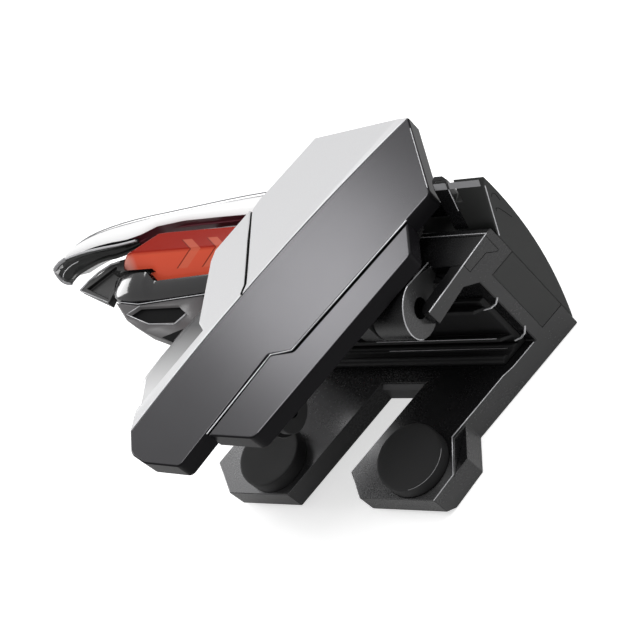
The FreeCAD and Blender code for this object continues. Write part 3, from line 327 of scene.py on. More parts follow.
def orange_gloss():
    """
    Glossy orange plastic, deep red above the crease. Painted light: the sloping front is painted
    much brighter than the top, and a painted highlight makes the tip of the nose pale. Two arrow
    marks bend at the crease, each a paler bar with a dark edge.
    """
    finish = Finish("orange_gloss", (0.5, 0.05, 0.02), 0.2, Specular_IOR_Level=0.12,
                    Coat_Weight=0.04, Coat_Roughness=0.1)
    broad = finish.noise(2.0)
    x = finish.axis("X")
    rise = finish.axis("Y") - 17.8
    top = rise.maths("MAXIMUM", 0.0)
    front = rise.maths("MINIMUM", 0.0) * 1.65
    paint = finish.mix(broad, (0.29, 0.010, 0.003), (0.32, 0.013, 0.004))
    # Painted light: below the crease the sloping front is painted brighter than the top.
    paint = finish.mix(rise.below(-0.05, 0.3), paint, (0.86, 0.115, 0.058))
    spread = rise.within(-1.45, 1.3, 0.1)
    for tip in (-13.9, -10.1):
        off = x - tip + top * 1.35 - front * 1.15
        bar = off.within(-1.5, 0.0, 0.08) * spread * 0.35
        dark_edge = off.within(-1.62, -1.42, 0.1) * spread * 0.8
        paint = finish.mix(bar, paint, (0.85, 0.25, 0.15))
        paint = finish.mix(dark_edge, paint, (0.13, 0.006, 0.004))
    # Painted highlight: the tip of the nose is painted pale.
    nose = x.below(-24.9, 1.2) * rise.below(-0.2, 0.4) * 0.6
    finish.feed("Base Color", finish.mix(nose, paint, (0.92, 0.5, 0.43)))
    finish.feed("Roughness", broad * 0.06 + 0.16)
    finish.bump(broad, 0.002)
    return finish.material


def maroon():
    """Dusky red plastic of the hood's liner, also along the hood's near edge."""
    finish = Finish("maroon", (0.12, 0.02, 0.034), 0.35)
    finish.grain(0.2, 0.006)
    return finish.material


def steel():
    """Plain steel of the screws, with a fine grain in its gloss."""
    finish = Finish("steel", (0.42, 0.42, 0.43), 0.28, Metallic=1.0)
    finish.grain(0.08, 0.003, 0.08, 0.08)
    return finish.material


def spring_steel():
    """Drawn spring wire, a little darker than the screws."""
    finish = Finish("spring_steel", (0.34, 0.33, 0.32), 0.32, Metallic=1.0)
    finish.grain(0.06, 0.003, 0.12, 0.08)
    return finish.material


def switch_black():
    """Plain dark plastic of the click switch, the lip and the hood's low rim."""
    finish = Finish("switch_black", (0.009, 0.009, 0.009), 0.42)
    finish.grain(0.12, 0.008)
    return finish.material


def painted_highlight():
    """Painted highlight: a bright bead laid along an edge where the light catches it."""
    finish = Finish("painted_highlight", (0.62, 0.62, 0.64), 0.18, Metallic=0.4)
    finish.grain(0.3, 0.002, 0.1, 0.05)
    return finish.material


def painted_rim_shade_and_highlight():
    """Satin grey beads: painted shade along the white hood's edges, painted highlights on the dark
    lip, flange, recess and pad.
    """
    finish = Finish("painted_rim_shade_and_highlight", (0.33, 0.33, 0.34), 0.25, Metallic=0.2)
    finish.grain(0.3, 0.002, 0.1, 0.05)
    return finish.material


MAKERS = (painted_highlight, painted_rim_shade_and_highlight, flank_grey, moulded_black, cover_black, joint_black_and_recess_shade,
          rubber_black, dark_paint, silver_paint, white_gloss, dark_gloss, grey_gloss,
          orange_gloss, maroon, steel, spring_steel, switch_black)
FINISHES = {maker.__name__: maker() for maker in MAKERS}
# The recess insert and the two pins take the dull black: painted shade in the hex recess and the
# bores. The lever shell takes the wing's painted light fade.
OTHER_FINISH = {"lever_shell": "flank_grey", "lower_lip": "switch_black",
                "recess_insert": "joint_black_and_recess_shade", "hinge_pin": "joint_black_and_recess_shade",
                "foot_pin": "joint_black_and_recess_shade"}
BODY_OF = {node: obj["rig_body"] for node, obj in frame["nodes"].items()}
SLOT_OF = {part["node"]: part["material_slot"] for part in frame["record"]["subparts"]}


def finish_of(node):
    """The finish that the node shows: its slot's own, unless another is named for it."""
    return FINISHES[OTHER_FINISH.get(node, SLOT_OF[node])]


# How pieces are made: from a grid of points, or from the node's own solid

def grid(x, y, z):
    """Sections of a piece, one a row: its X, Y and Z as arrays that fill up to the same grid."""
    return np.stack(np.broadcast_arrays(x, y, z), -1)


def grid_faces(rows, columns, ends="capped"):
    """
    The four-sided faces of a grid. Each row is a closed ring, except in a sheet. The two end
    rows are capped, joined to each other for a bored piece, or left where they close to a point.
    """
    index = np.arange(rows * columns).reshape(rows, columns)
    if ends == "joined":
        index = np.concatenate([index, index[:1]])
    if ends != "sheet":
        index = np.concatenate([index, index[:, :1]], 1)
    quads = np.stack([index[:-1, :-1], index[1:, :-1], index[1:, 1:], index[:-1, 1:]], -1)
    faces = quads.reshape(-1, 4).tolist()
    if ends == "capped":
        faces += [index[0, :-1].tolist(), index[-1, :-1][::-1].tolist()]
    return faces


def placed(name, node, mesh):
    """Puts a mesh in the scene as a piece that rides where the node does."""
    piece = bpy.data.objects.new(name, mesh)
    bpy.context.scene.collection.objects.link(piece)
    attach(piece, BODY_OF[node])
    return piece


def shaped(name, node, points, finish, smooth=40.0, ends="capped"):
    """Makes a piece from a grid of points in millimetres, with one face for each cell."""
    mesh = bpy.data.meshes.new(name)
    faces = grid_faces(points.shape[0], points.shape[1], ends)
    mesh.from_pydata((points.reshape(-1, 3) * MM).tolist(), [], faces)
    shape = bmesh.new()
    shape.from_mesh(mesh)
    bmesh.ops.remove_doubles(shape, verts=shape.verts, dist=0.001 * MM)
    bmesh.ops.recalc_face_normals(shape, faces=shape.faces)
    shape.to_mesh(mesh)
    shape.free()
    mesh.materials.append(FINISHES[finish])
    mesh.shade_smooth()
    mesh.set_sharp_from_angle(angle=math.radians(smooth))
    return placed(name, node, mesh)


CRISP = 32.0


def turned(piece, width, segments=2, crisp=CRISP):
    """Turns a piece's crisp edges over by width millimetres."""
    bevel = piece.modifiers.new("Turned_edges", "BEVEL")
    bevel.width = width * MM
    bevel.segments = segments
    bevel.limit_method = "ANGLE"
    bevel.angle_limit = math.radians(crisp)
    bevel.use_clamp_overlap = False
    bevel.harden_normals = True


def edged(node, width):
    """The node's own solid, merged, its crisp edges turned over by width millimetres."""
    mesh = frame["nodes"][node].data.copy()
    shape = bmesh.new()
    shape.from_mesh(mesh)
    bmesh.ops.remove_doubles(shape, verts=shape.verts, dist=0.002 * MM)
    if width:
        bmesh.ops.dissolve_limit(shape, angle_limit=math.radians(0.6), verts=shape.verts,
                                 edges=shape.edges)
    bmesh.ops.recalc_face_normals(shape, faces=shape.faces)
    shape.to_mesh(mesh)
    shape.free()
    mesh.materials.clear()
    mesh.materials.append(finish_of(node))
    mesh.shade_smooth()
    mesh.set_sharp_from_angle(angle=math.radians(CRISP))
    piece = placed(node + "_edged", node, mesh)
    if width:
        turned(piece, width)
        even = piece.modifiers.new("Even_normals", "WEIGHTED_NORMAL")
        even.weight = 100
        even.keep_sharp = True
    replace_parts(piece, node)
    return piece


def eased(points, count, soft=1):
    """A polyline run over again in even steps of its length, its corners cut soft times."""
    points = np.asarray(points, float)
    for _ in range(soft):
        after_start = points[:-1] * 0.75 + points[1:] * 0.25
        before_end = points[:-1] * 0.25 + points[1:] * 0.75
        cut = np.stack([after_start, before_end], 1).reshape(-1, points.shape[1])
        points = np.concatenate([points[:1], cut, points[-1:]])
    step = np.linalg.norm(np.diff(points, axis=0), axis=1)
    run = np.concatenate([[0.0], np.cumsum(step)])
    even = np.linspace(0.0, run[-1], count)
    return np.stack([np.interp(even, run, points[:, k]) for k in range(points.shape[1])], -1)


def tube(name, node, path, radius, finish, sides=8):
    """A round bead: a circle of the radius, square to the path's direction at each point."""
    path = np.asarray(path, float)
    ahead = np.gradient(path, axis=0)
    ahead /= np.linalg.norm(ahead, axis=1, keepdims=True)
    spare = np.where(np.abs(ahead[:, 2:3]) < 0.9, (0.0, 0.0, 1.0), (1.0, 0.0, 0.0))
    side = np.cross(ahead, spare)
    side /= np.linalg.norm(side, axis=1, keepdims=True)
    rise = np.cross(side, ahead)
    turn = np.linspace(0.0, 2.0 * np.pi, sides, endpoint=False)[None, :, None]
    ring = path[:, None] + radius * (np.cos(turn) * side[:, None] + np.sin(turn) * rise[:, None])
    return shaped(name, node, ring, finish, 60.0)


def revolved(name, node, profile, axis, middle, finish, smooth, steps, ends="joined"):
    """
    A profile of radius and place along the axis, turned about an axis through the middle: each
    of its points becomes a circle. A bored piece has its last circle joined to its first.
    """
    radius, along = np.asarray(profile, float).T[:, :, None]
    turn = np.linspace(0.0, 2.0 * np.pi, steps, endpoint=False)[None]
    first = middle[0] + radius * np.cos(turn)
    second = middle[1] + radius * np.sin(turn)
    points = grid(along, first, second) if axis == "X" else grid(first, second, along)
    return shaped(name, node, points, finish, smooth, ends)


EDGES = {
    "clip_frame": 0.10, "right_plug": 0.12, "left_plug": 0.12, "edge_cushion": 0.12,
    "back_cover": 0.10, "hinge_bracket": 0.08, "top_plate": 0.06, "lower_strip": 0.06,
    "far_panel": 0.12, "near_panel": 0.12, "lever_shell": 0.08, "lever_frame": 0.08,
    "lower_housing": 0.0, "recess_insert": 0.0, "lower_lip": 0.10, "hood_liner": 0.06}
for node, width in EDGES.items():
    edged(node, width)


# Trigger core: orange, with a sloping front and a nose that falls away

def trigger_core():
    """
    A ring of six points in Y and Z for each X: floor back, floor front, front edge, crease, top
    and top back. The back edge slants in towards the nose and the crease stops before it, and
    at the nose the ring sinks and narrows as a quarter of an ellipse, where X is closer set.
    """
    nose, root, floor_level, top_level = -26.8, -9.3, 18.85, 22.0
    close = np.cos(np.linspace(0.12, 1.0, 10) * np.pi / 2.0)
    x = np.concatenate([nose + 2.2 * (1.0 - close), np.linspace(nose + 2.8, root, 12)])
    back = np.minimum(20.4, 16.9 + (x - nose) * 3.9 / 6.2)
    crease = np.minimum(17.8, back - 0.25)
    fall = np.clip((x - nose) / 2.4, 0.0, 1.0)
    round_off = np.sqrt(1.0 - (1.0 - fall) ** 2)
    front = np.interp(x, (nose, -22.6, -21.3, -12.7, root), (16.2, 16.2, 15.05, 15.55, 15.7))
    reach = 16.2 - front
    front = front + 0.9 * (1.0 - round_off)
    crease = np.maximum(crease, front + 0.05)
    sunk = 0.5 * np.maximum(0.0, 17.55 - crease)
    top = top_level - 1.8 * (1.0 - round_off) - sunk
    low = np.minimum(19.9 - reach * 0.9, top - 0.1)
    floor_row = np.full_like(x, floor_level)
    y = np.column_stack([back, front, front, crease, (crease + back) / 2.0, back])
    z = np.column_stack([floor_row, floor_row, low, top, top + 0.02, top])
    piece = shaped("orange_core", "trigger_core", grid(x[:, None], y, z), "orange_gloss", 28.0)
    turned(piece, 0.22, 3, 28.0)
    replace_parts(piece, "trigger_core")


trigger_core()


# Cradle: a rounded bar with a tab at its nose, over the floor and root of the solid

CRADLE_SPLIT = 16.2


def cradle():
    """
    A ring of Y and Z for each point of the front line in plan: up the back, then from the crest
    to the front as the curve z = low + (crest - low) * sqrt(1 - s^2.4), and down. The crest
    stands further back and higher along the tab, and sinks as a parabola towards the nose.
    """
    floor_level, ledge = 17.5, 18.8
    plan = eased([(-28.85, 15.6), (-28.9, 14.6), (-28.1, 13.4), (-26.9, 12.85), (-23.6, 12.5),
                  (-9.0, 13.8)], 70, 2)
    x, front = plan[:, :1], plan[:, 1:]
    crest = np.interp(x, (-28.9, -28.2, -22.7, -21.4, -12.7, -9.0),
                      (15.9, 16.0, 16.0, 14.95, 15.45, 15.6))
    top = np.interp(x, (-28.9, -22.7, -21.4, -9.0), (20.55, 20.55, 20.15, 20.15))
    top = top - 1.5 * np.clip((-24.0 - x) / 4.9, 0.0, 1.0) ** 2
    share = np.linspace(0.05, 1.0, 10)
    fall = np.sqrt(np.maximum(0.0, 1.0 - share ** 2.4))
    one = np.ones_like(x)
    y = np.hstack([CRADLE_SPLIT * one, CRADLE_SPLIT * one, crest, crest,
                   crest + (front - crest) * share, front, front + 0.1])
    z = np.hstack([floor_level * one, ledge * one, ledge * one, top,
                   ledge + (top - ledge) * fall, (floor_level + 0.1) * one, floor_level * one])
    shaped("cradle_bar", "trigger_cradle", grid(x, y, z), "dark_gloss", 34.0)


def cradle_rest():
    """The cradle's own solid behind the bar: what lies in front of the split is cut off."""
    rest = edged("trigger_cradle", 0.0)
    shape = bmesh.new()
    shape.from_mesh(rest.data)
    whole = shape.verts[:] + shape.edges[:] + shape.faces[:]
    bmesh.ops.bisect_plane(shape, geom=whole, plane_co=(0.0, CRADLE_SPLIT * MM, 0.0),
                           plane_no=(0.0, 1.0, 0.0), clear_inner=True)
    shape.to_mesh(rest.data)
    shape.free()


cradle()
cradle_rest()


# Flat pieces and short profiles: the flange's left end, the housing's notch, the slot's step

def flange_end():
    """
    Left end of the cover's flange, one side profile for each X with its top sinking at the
    notch, and a painted highlight: a light facet along the top of both halves.
    """
    profile = np.array([(19.2, 19.6), (20.15, 22.6), (20.74, 24.48), (21.17, 25.2),
                        (21.4, 25.36), (21.9, 25.3), (21.95, 25.1), (21.95, 19.6)])
    x = np.array([18.3, 18.34, 19.3, 19.94, 19.98])[:, None]
    drop = np.array([0.06, 0.0, 0.0, 0.35, 0.4])[:, None]
    y, z = profile.T
    y = np.where(y > 21.3, y - drop * 1.2, y)
    z = np.where(z > 25.1, z - drop * 0.4, z)
    shaped("flange_end", "back_cover", grid(x, y, z), "moulded_black", 35.0)
    # Painted highlight: thin grey strips along the flange's top edge.
    y, z = np.array([(20.74, 24.56), (21.1, 25.15), (21.14, 25.13), (20.78, 24.54)]).T
    for name, left, right in (("left_facet", 18.4, 19.85), ("right_facet", 20.15, 23.75)):
        shaped(name, "back_cover", grid([[left], [right]], y, z), "painted_rim_shade_and_highlight", 30.0)


def flange_web():
    """A rectangle in plan at two heights, which closes the cover behind the left end."""
    x = np.array([14.8, 18.4, 18.4, 14.8])
    y = np.array([20.9, 20.9, 21.3, 21.3])
    shaped("flange_web", "back_cover", grid(x, y, [[19.6], [21.7]]), "moulded_black", 30.0)


def housing_notch():
    """A triangle in plan at two heights, on the housing's upper face."""
    x, y = np.array([(-17.9, 7.9), (-16.1, 7.3), (-15.1, 8.9)]).T
    shaped("housing_notch", "lower_housing", grid(x, y, [[19.2], [19.34]]), "joint_black_and_recess_shade", 30.0)


def slot_step():
    """A sloped step at the closed end of the slot between the fingers, slanted as the slot is."""
    y, z = np.array([(9.75, 3.5), (9.25, 3.0), (9.25, 0.9), (9.75, 0.9)]).T
    sides = np.array([[1.95], [8.35]])
    x = sides + (y - 9.73) * CLIP_SLANT
    shaped("slot_step", "clip_frame", grid(x, y, z), "flank_grey", 30.0)


flange_end()
flange_web()
housing_notch()
slot_step()


# Touch foot: two round cheeks on a low sole

def foot():
    """
    Each cheek is a ring profile turned about the pin. The sole is a flattened arc about the pin
    at its two sides, closed by its chord.
    """
    bore, edge, rim = 0.85, 2.42, 2.5
    for name, left, right in (("right_cheek", 3.35, 4.3), ("left_cheek", -0.2, 0.75)):
        profile = [(bore, left), (edge, left), (rim, left + 0.08), (rim, right - 0.08),
                   (edge, right), (bore, right)]
        revolved(name, "touch_foot", profile, "X", FOOT_PIN, "rubber_black", 35.0, 64)
    angle = np.linspace(math.radians(222.0), math.radians(318.0), 17)
    y = FOOT_PIN[0] + 2.48 * np.cos(angle)
    z = np.maximum(16.9, FOOT_PIN[1] + 2.66 * np.sin(angle))
    piece = shaped("foot_sole", "touch_foot", grid([[0.75], [3.35]], y, z), "rubber_black", 35.0)
    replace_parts(piece, "touch_foot")


foot()


# Hood: a crowned white shell, its barrel, a dark scooped inside at the nose, and beads of painted
# shade and highlight along its rims

def hood():
    """
    For each station along the far edge, a closed ring across the hood: up the near edge, over the
    crown as a flat arc, down the outer wall, under it and back up its inside. The wall is thinner
    where the hood is narrow. At the tip the crown comes down and the wall's underside comes up,
    and nearer the root than X = -26.5 the near edge reaches 0.5 mm lower.
    """
    stations = 56
    far = eased([(-4.6, 25.55), (-12.6, 25.0), (-21.0, 24.0), (-26.0, 23.55), (-30.0, 22.85),
                 (-33.6, 21.85), (-36.0, 20.55), (-37.9, 19.0), (-39.1, 17.5)], stations)
    near = eased([(-4.6, 22.3), (-9.6, 22.5), (-22.1, 22.4), (-26.2, 20.55), (-31.2, 20.1),
                  (-34.2, 19.35), (-37.2, 18.2), (-38.75, 17.1)], stations)
    wide = np.linalg.norm(near - far, axis=1, keepdims=True)
    inward = (near - far) / wide
    near_foot, crown_foot, wall_foot = 20.1, 20.2, 17.0
    rows = [(1.0, 0.0, near_foot), (1.0, 0.0, 21.0), (0.96, 0.0, 21.08), (0.8, 0.0, 21.2),
            (0.6, 0.0, 21.26), (0.4, 0.0, 21.22), (0.22, 0.0, 21.08), (0.08, 0.0, 20.8),
            (0.0, 0.0, 20.35), (0.0, 0.0, 16.55), (0.0, 0.1, 16.4), (0.0, 0.95, 16.4),
            (0.0, 1.05, 16.55), (0.0, 1.05, near_foot)]
    part, inset, level = np.array(rows).T
    reach = part * wide + np.minimum(inset, wide * 0.35)
    plan = far[:, None] + inward[:, None] * reach[..., None]
    end = np.clip((np.linspace(0.0, 1.0, stations)[:, None] - 0.93) / 0.07, 0.0, 1.0)
    rooted = np.clip((near[:, :1] + 26.5) / 1.5, 0.0, 1.0)
    rise = (17.9 - level) * 0.45 * end * (level > crown_foot) + 1.7 * end * (level < wall_foot)
    height = level + rise - 0.5 * rooted * (level == near_foot)
    piece = shaped("white_hood", "trigger_hood", grid(plan[..., 0], plan[..., 1], height),
                   "white_gloss", 40.0)
    around, maroon_end, black_end = len(rows), 35, 53
    slot_of_face = np.zeros(len(piece.data.polygons), np.int32)
    slot_of_face[:maroon_end * around:around] = 1
    slot_of_face[maroon_end * around:black_end * around:around] = 2
    piece.data.materials.append(FINISHES["maroon"])
    piece.data.materials.append(FINISHES["switch_black"])
    piece.data.polygons.foreach_set("material_index", slot_of_face)
    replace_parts(piece, "trigger_hood")


def hood_barrel():
    """The barrel that turns on the hood's pin: a bored ring profile turned about the pin."""
    profile = [(0.9, 16.45), (1.62, 16.45), (1.7, 16.55), (1.7, 20.25), (1.62, 20.33), (0.9, 20.33)]
    revolved("hood_barrel", "trigger_hood", profile, "Z", HOOD_PIVOT, "white_gloss", 50.0, 48)


def hood_scoop():
    """
    Ribbon between the hood's near edge and its lower edge at the nose; it gives back both edges for
    the beads on them. Across it the surface starts at a rolled rim, drops into a shallow trough and
    comes back to a thin rim. The trough gets its full depth over the first quarter from the tip.
    """
    along = 40
    high = eased([(-39.0, 17.5, 20.2), (-38.2, 17.9, 20.7), (-36.9, 18.5, 20.9),
                  (-34.0, 19.2, 20.95), (-30.7, 19.6, 20.95), (-28.2, 19.8, 20.95),
                  (-25.8, 20.2, 20.95)], along)
    low = eased([(-39.25, 17.35, 19.4), (-39.2, 17.0, 18.6), (-38.4, 16.7, 18.2),
                 (-37.6, 16.65, 18.1), (-36.0, 17.2, 19.0), (-34.4, 17.95, 19.2),
                 (-32.3, 18.95, 19.2), (-29.5, 19.25, 19.2), (-26.4, 20.4, 19.3)], along)
    share = np.array([0.0, 0.06, 0.12, 0.16, 0.3, 0.5, 0.7, 0.86, 0.9, 0.95, 1.0])[:, None]
    sink = np.array([-0.05, 0.06, 0.0, -0.45, -0.7, -0.75, -0.7, -0.45, 0.0, 0.05, -0.05])[:, None]
    inside = np.array([-0.15, 0.8, -0.3]) / 0.87
    deep = np.clip(np.linspace(0.0, 4.0, along), 0.0, 1.0)[:, None, None]
    points = high[:, None] * (1.0 - share) + low[:, None] * share - inside * sink * deep
    piece = shaped("hood_scoop", "trigger_hood", points, "cover_black", 40.0, "sheet")
    wall = piece.modifiers.new("Wall", "SOLIDIFY")
    wall.thickness = 0.25 * MM
    wall.offset = 0.0
    return high + (0.0, 0.0, 0.05), low


def hood_rims(high, low):
    """Beads along the crown's far side, its crease, the nose and the scoop's two edges: the grey
    ones painted shade on the white hood, the bright ones painted highlights.
    """
    far = eased([(-6.5, 25.4, 20.9), (-12.0, 25.02, 20.9), (-21.0, 24.02, 20.9),
                 (-26.0, 23.5, 20.9), (-30.0, 22.8, 20.9), (-33.6, 21.8, 20.9),
                 (-36.0, 20.5, 20.8), (-37.9, 18.95, 20.5), (-39.0, 17.6, 20.1)], 60)
    crease = eased([(-6.5, 24.85, 21.0), (-12.0, 24.45, 21.0), (-21.0, 23.45, 21.0),
                    (-26.0, 23.0, 21.0), (-30.0, 22.4, 20.95), (-33.6, 21.5, 20.9),
                    (-36.0, 20.4, 20.8)], 50)
    nose = eased([(-36.9, 18.4, 20.95), (-38.2, 17.85, 20.75), (-39.0, 17.45, 20.2),
                  (-39.2, 17.3, 19.4), (-39.1, 16.98, 18.6), (-38.4, 16.7, 18.2),
                  (-37.6, 16.7, 18.1)], 30)
    inner = eased([(-35.2, 18.35, 20.3), (-36.6, 17.95, 20.1), (-37.9, 17.3, 19.6),
                   (-38.2, 16.95, 19.2)], 20)
    for name, path, radius, finish in (("hood_far_line", far, 0.08, "painted_rim_shade_and_highlight"),
                                       ("hood_crease", crease, 0.1, "painted_rim_shade_and_highlight"),
                                       ("hood_nose_rim", nose, 0.27, "painted_rim_shade_and_highlight"),
                                       ("hood_nose_line", inner, 0.06, "painted_highlight"),
                                       ("hood_rim_high", high, 0.15, "painted_highlight"),
                                       ("hood_rim_low", low, 0.13, "switch_black")):
        tube(name, "trigger_hood", path, radius, finish)


hood()
hood_barrel()
hood_rims(*hood_scoop())


# Springs: real coils of wire in place of the grooved tubes

def coil(name, node, middle, axis, radius, wire, legs):
    """
    A helix as long as the node's box: round the axis once for each pitch of about 1.9 wires
    that it moves along, with a short straight leg at both ends.
    """
    low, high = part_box(node)
    start = low["XYZ".index(axis)] / MM + wire
    tall = high["XYZ".index(axis)] / MM - wire - start
    turns = round(tall / (1.9 * wire) * 4.0) / 4.0
    turn = np.linspace(0.0, turns, int(turns * 28) + 1)
    angle = 2.0 * np.pi * turn
    along = start + tall * turn / turns
    first = middle[0] + radius * np.cos(angle)
    second = middle[1] + radius * np.sin(angle)
    path = grid(along, first, second) if axis == "X" else grid(first, second, along)
    way_in = path[0] - path[1]
    way_out = path[-1] - path[-2]
    start_leg = path[0] + way_in / np.linalg.norm(way_in) * legs
    end_leg = path[-1] + way_out / np.linalg.norm(way_out) * legs
    whole = np.concatenate([[start_leg], path, [end_leg]])
    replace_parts(tube(name, node, whole, wire * 0.9, "spring_steel"), node)


coil("hinge_coil", "hinge_spring", HINGE, "X", 1.5, 0.2, 1.0)
coil("hood_coil", "hood_spring", HOOD_PIVOT, "Z", 1.1, 0.2, 0.8)


# Rubber pads: a crowned disc with a rolled edge on a short neck

def pad_disc(name, node, side):
    """Profile of radius and height turned about the pad's axis; the top sinks a little inwards."""
    profile = [(0.0, 5.52), (1.5, 5.53), (3.0, 5.57), (3.7, 5.6), (3.86, 5.6), (3.96, 5.56),
               (4.0, 5.46), (4.0, 5.4), (4.0, 3.85), (3.95, 3.8), (1.6, 3.8), (1.6, 1.8),
               (0.0, 1.8)]
    piece = revolved(name, node, profile, "Z", (side, 0.0), "rubber_black", 40.0, 72, "points")
    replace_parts(piece, node)


pad_disc("right_pad_face", "right_pad", PAD_SIDE)
pad_disc("left_pad_face", "left_pad", -PAD_SIDE)


# Thin lines: painted highlights, bright beads where edges catch the light, and a few dark joints and
# arcs

def on_clip(side, y):
    """A place in plan on the clip, whose sides slant."""
    return (side + y * CLIP_SLANT, y)


def on_lever(side, y):
    """A place in plan on the lever, whose long edges slant a little more."""
    return (side + y * LEVER_SLANT, y)


def at_height(z, *places):
    """Places in plan, all at one height."""
    return [(x, y, z) for x, y in places]


def pad_arc(radius, z, start, stop, count):
    """An arc about the right pad's axis, from one angle to the other in degrees."""
    angle = np.radians(np.linspace(start, stop, count))
    return grid(PAD_SIDE + radius * np.cos(angle), radius * np.sin(angle), z)


def ear_arc():
    """The rim of the bracket's right ear, an arc about the hinge pin, and the corner above it."""
    angle = np.radians(np.linspace(215.0, 75.0, 24))
    arc = grid(16.4, HINGE[0] + 3.2 * np.cos(angle), HINGE[1] + 3.2 * np.sin(angle))
    return np.concatenate([arc, [(16.2, 15.3, 19.7)]])


LINES = {
    "seam_line": ("lower_strip", 0.07, "painted_highlight", at_height(
        24.97, on_lever(4.75, 17.2), on_lever(4.75, 2.72), (4.0, 2.27), (-1.1, -6.64))),
    "finger_line": ("clip_frame", 0.06, "painted_highlight", at_height(
        3.8, (12.95, -4.2), (14.54, -1.21), on_clip(ARM_SIDE, 3.17), on_clip(ARM_SIDE, 10.4))
        + at_height(3.5, on_clip(ARM_SIDE, 11.7), on_clip(ARM_SIDE, 14.6))),
    "arm_line": ("clip_frame", 0.07, "painted_highlight", at_height(
        18.9, on_clip(ARM_SIDE, 9.95)) + at_height(19.9, on_clip(ARM_SIDE, 18.2))),
    "leaf_line": ("clip_frame", 0.05, "painted_highlight", at_height(19.95, (13.6, 18.25), (22.5, 18.2))),
    "lip_line": ("back_cover", 0.06, "painted_highlight", [(19.95, 20.75, 24.5), (19.95, 19.8, 22.0)]),
    "cover_line": ("back_cover", 0.06, "painted_highlight", [(24.2, 20.78, 24.5), (23.0, 18.85, 18.4)]),
    "rib_line": ("edge_cushion", 0.05, "painted_highlight", at_height(
        6.85, on_clip(-6.0, 13.3), on_clip(9.6, 13.3))),
    "floor_line": ("edge_cushion", 0.04, "painted_highlight", at_height(
        4.3, on_clip(-6.0, 13.5), on_clip(9.4, 13.5))),
    "upper_hook": ("edge_cushion", 0.11, "painted_highlight", [
        (20.6, 15.0, 12.6), (20.3, 14.5, 12.15), (19.6, 14.2, 11.85), (18.7, 14.1, 11.7)]),
    "lower_hook": ("edge_cushion", 0.11, "painted_highlight", [
        (20.6, 15.0, 6.4), (20.3, 14.5, 5.7), (19.6, 14.3, 5.1), (18.7, 14.2, 4.7)]),
    "cradle_line": ("trigger_cradle", 0.06, "painted_highlight", at_height(
        19.25, (-27.0, 12.9), (-23.6, 12.48), (-9.4, 13.7))),
    "cover_arc_high": ("back_cover", 0.03, "joint_black_and_recess_shade", [
        (24.02, 20.65, 22.75), (24.16, 20.88, 23.02), (24.26, 21.05, 22.6),
        (24.23, 20.99, 21.51)]),
    "cover_arc_low": ("back_cover", 0.03, "joint_black_and_recess_shade", [
        (23.7, 20.12, 20.9), (23.79, 20.27, 21.22), (23.9, 20.45, 20.9), (24.0, 20.62, 19.86),
        (24.1, 20.78, 18.61)]),
    "pad_line": ("right_pad", 0.03, "painted_rim_shade_and_highlight", pad_arc(3.97, 5.52, -75.0, 15.0, 19)),
    "pad_foot_line": ("right_pad", 0.03, "joint_black_and_recess_shade", pad_arc(4.02, 3.9, -140.0, 34.0, 30)),
    "ear_line": ("hinge_bracket", 0.07, "painted_highlight", ear_arc()),
    "plate_line": ("top_plate", 0.05, "painted_highlight", at_height(24.97, (13.3, 28.6), (17.65, 20.9))),
    "lip_rim": ("lower_lip", 0.16, "painted_rim_shade_and_highlight", at_height(
        18.65, (-34.9, 15.2), (-34.0, 16.4), (-32.8, 17.6), (-31.2, 18.6), (-29.8, 18.9))),
    "lip_rim_low": ("lower_lip", 0.1, "painted_rim_shade_and_highlight", at_height(18.65, (-34.9, 15.2), (-29.3, 13.3))),
    "recess_rim": ("lower_housing", 0.06, "painted_highlight", at_height(
        19.3, (-23.2, 12.2), (-24.85, 11.15), (-20.8, 9.75), (-16.8, 9.6))),
    "recess_tip": ("lower_housing", 0.17, "painted_rim_shade_and_highlight", at_height(19.22, (-16.7, 9.6), (-15.5, 10.8))),
    "panel_joint": ("near_panel", 0.15, "joint_black_and_recess_shade", [
        (-6.5, 21.0, 23.33), (-5.0, 17.05, 24.03), (-3.32, 12.9, 24.63), (-2.6, 10.8, 24.83),
        (-2.6, 9.55, 24.93)]),
}
for name, (node, radius, finish, corners) in LINES.items():
    path = np.asarray(corners, float)
    steps = [np.linspace(a, b, 6)[:-1] for a, b in zip(path[:-1], path[1:])] + [path[-1:]]
    tube(name, node, np.concatenate(steps), radius, finish, 6)

for node, obj in frame["nodes"].items():
    obj.data.materials.clear()
    obj.data.materials.append(finish_of(node))


# Floor, light and camera

WHITE = (1.0, 1.0, 1.0, 1.0)


def lit(name, place, power, size):
    """A soft rectangular lamp at a place, turned to face the object."""
    lamp = bpy.data.lights.new(name, "AREA")
    lamp.energy = power
    lamp.shape = "RECTANGLE"
    lamp.size, lamp.size_y = size
    obj = bpy.data.objects.new(name, lamp)
    obj.location = place
    aim = Vector((0.0, 0.01, 0.015)) - Vector(place)
    obj.rotation_euler = aim.to_track_quat("-Z", "Y").to_euler()
    bpy.context.scene.collection.objects.link(obj)


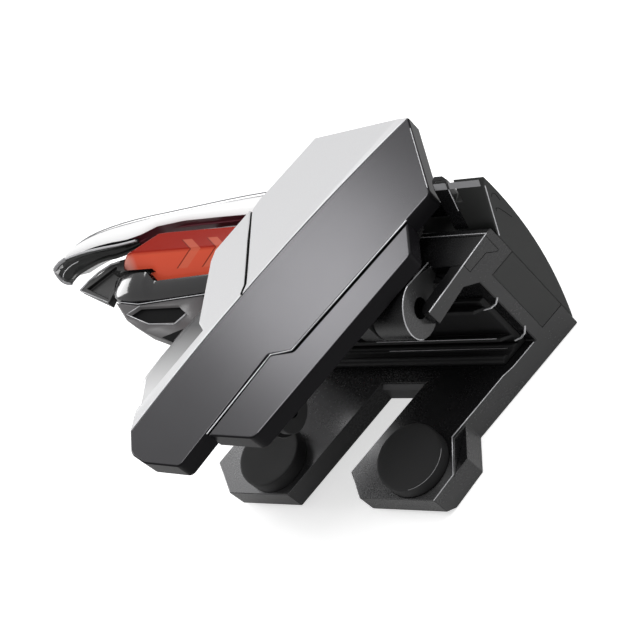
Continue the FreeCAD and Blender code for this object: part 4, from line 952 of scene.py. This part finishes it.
def floor():
    """
    A flat sheet just under the object, pale, keeping its shadow: z is the same over the whole
    grid. The camera sees it glow a little on top of its own light, and mirrors see a fifth of that.
    """
    across = np.linspace(-1.5, 1.5, 9)
    points = grid(across[:, None], across, -0.00005)
    mesh = bpy.data.meshes.new("floor")
    mesh.from_pydata(points.reshape(-1, 3).tolist(), [], grid_faces(9, 9, "sheet"))
    obj = bpy.data.objects.new("floor", mesh)
    bpy.context.scene.collection.objects.link(obj)
    paper = Finish("floor_paper", (0.8, 0.8, 0.8), 0.9)
    plain = Value(paper, paper.shader.outputs[0])
    camera_ray = paper.add("ShaderNodeLightPath", {}, {}, "Is Camera Ray")
    glossy_ray = paper.add("ShaderNodeLightPath", {}, {}, "Is Glossy Ray")
    seen = camera_ray.maths("MAXIMUM", glossy_ray * 0.2)
    glow = paper.add("ShaderNodeEmission", {}, {"Color": WHITE, "Strength": 0.62})
    glowing = paper.add("ShaderNodeAddShader", {}, {0: glow, 1: plain})
    mixed = paper.add("ShaderNodeMixShader", {}, {0: seen, 1: plain, 2: glowing})
    paper.give(paper.tree.nodes["Material Output"].inputs["Surface"], mixed)
    mesh.materials.append(paper.material)


def studio():
    """A white world: full for the camera, brighter in mirrors than in the plain light."""
    world = bpy.data.worlds.new("studio")
    bpy.context.scene.world = world
    world.use_nodes = True
    sky = Nodes(world.node_tree)
    camera_ray = sky.add("ShaderNodeLightPath", {}, {}, "Is Camera Ray")
    glossy_ray = sky.add("ShaderNodeLightPath", {}, {}, "Is Glossy Ray")
    background = sky.tree.nodes["Background"].inputs
    sky.give(background["Strength"], camera_ray * 0.72 + (glossy_ray * 0.3 + 0.28))
    sky.give(background["Color"], WHITE)


def look():
    """The camera at the photograph's angle: its right, up and back, and where it stands."""
    camera = bpy.data.cameras.new("camera")
    camera.lens = 94.07
    camera.sensor_width = 36.0
    camera.clip_start = 0.01
    right = Vector((0.79319, 0.26678, -0.54743))
    up = Vector((0.03481, 0.87761, 0.47811))
    back = Vector((0.60798, -0.39829, 0.68682))
    place = Matrix.Translation((0.10894, -0.05932, 0.13879))
    eye = bpy.data.objects.new("camera", camera)
    eye.matrix_world = place @ Matrix((right, up, back)).transposed().to_4x4()
    bpy.context.scene.collection.objects.link(eye)
    bpy.context.scene.camera = eye
    bpy.context.scene.view_settings.view_transform = "Standard"


floor()
studio()
lit("key", (0.02, 0.06, 0.45), 1.12, (0.30, 0.30))
lit("sheen", (-0.258, 0.194, 0.33), 0.10, (0.07, 0.07))
lit("side", (-0.40, 0.045, 0.14), 0.75, (0.21, 0.19))
lit("edge", (0.30, 0.35, 0.20), 0.6, (0.25, 0.12))
look()
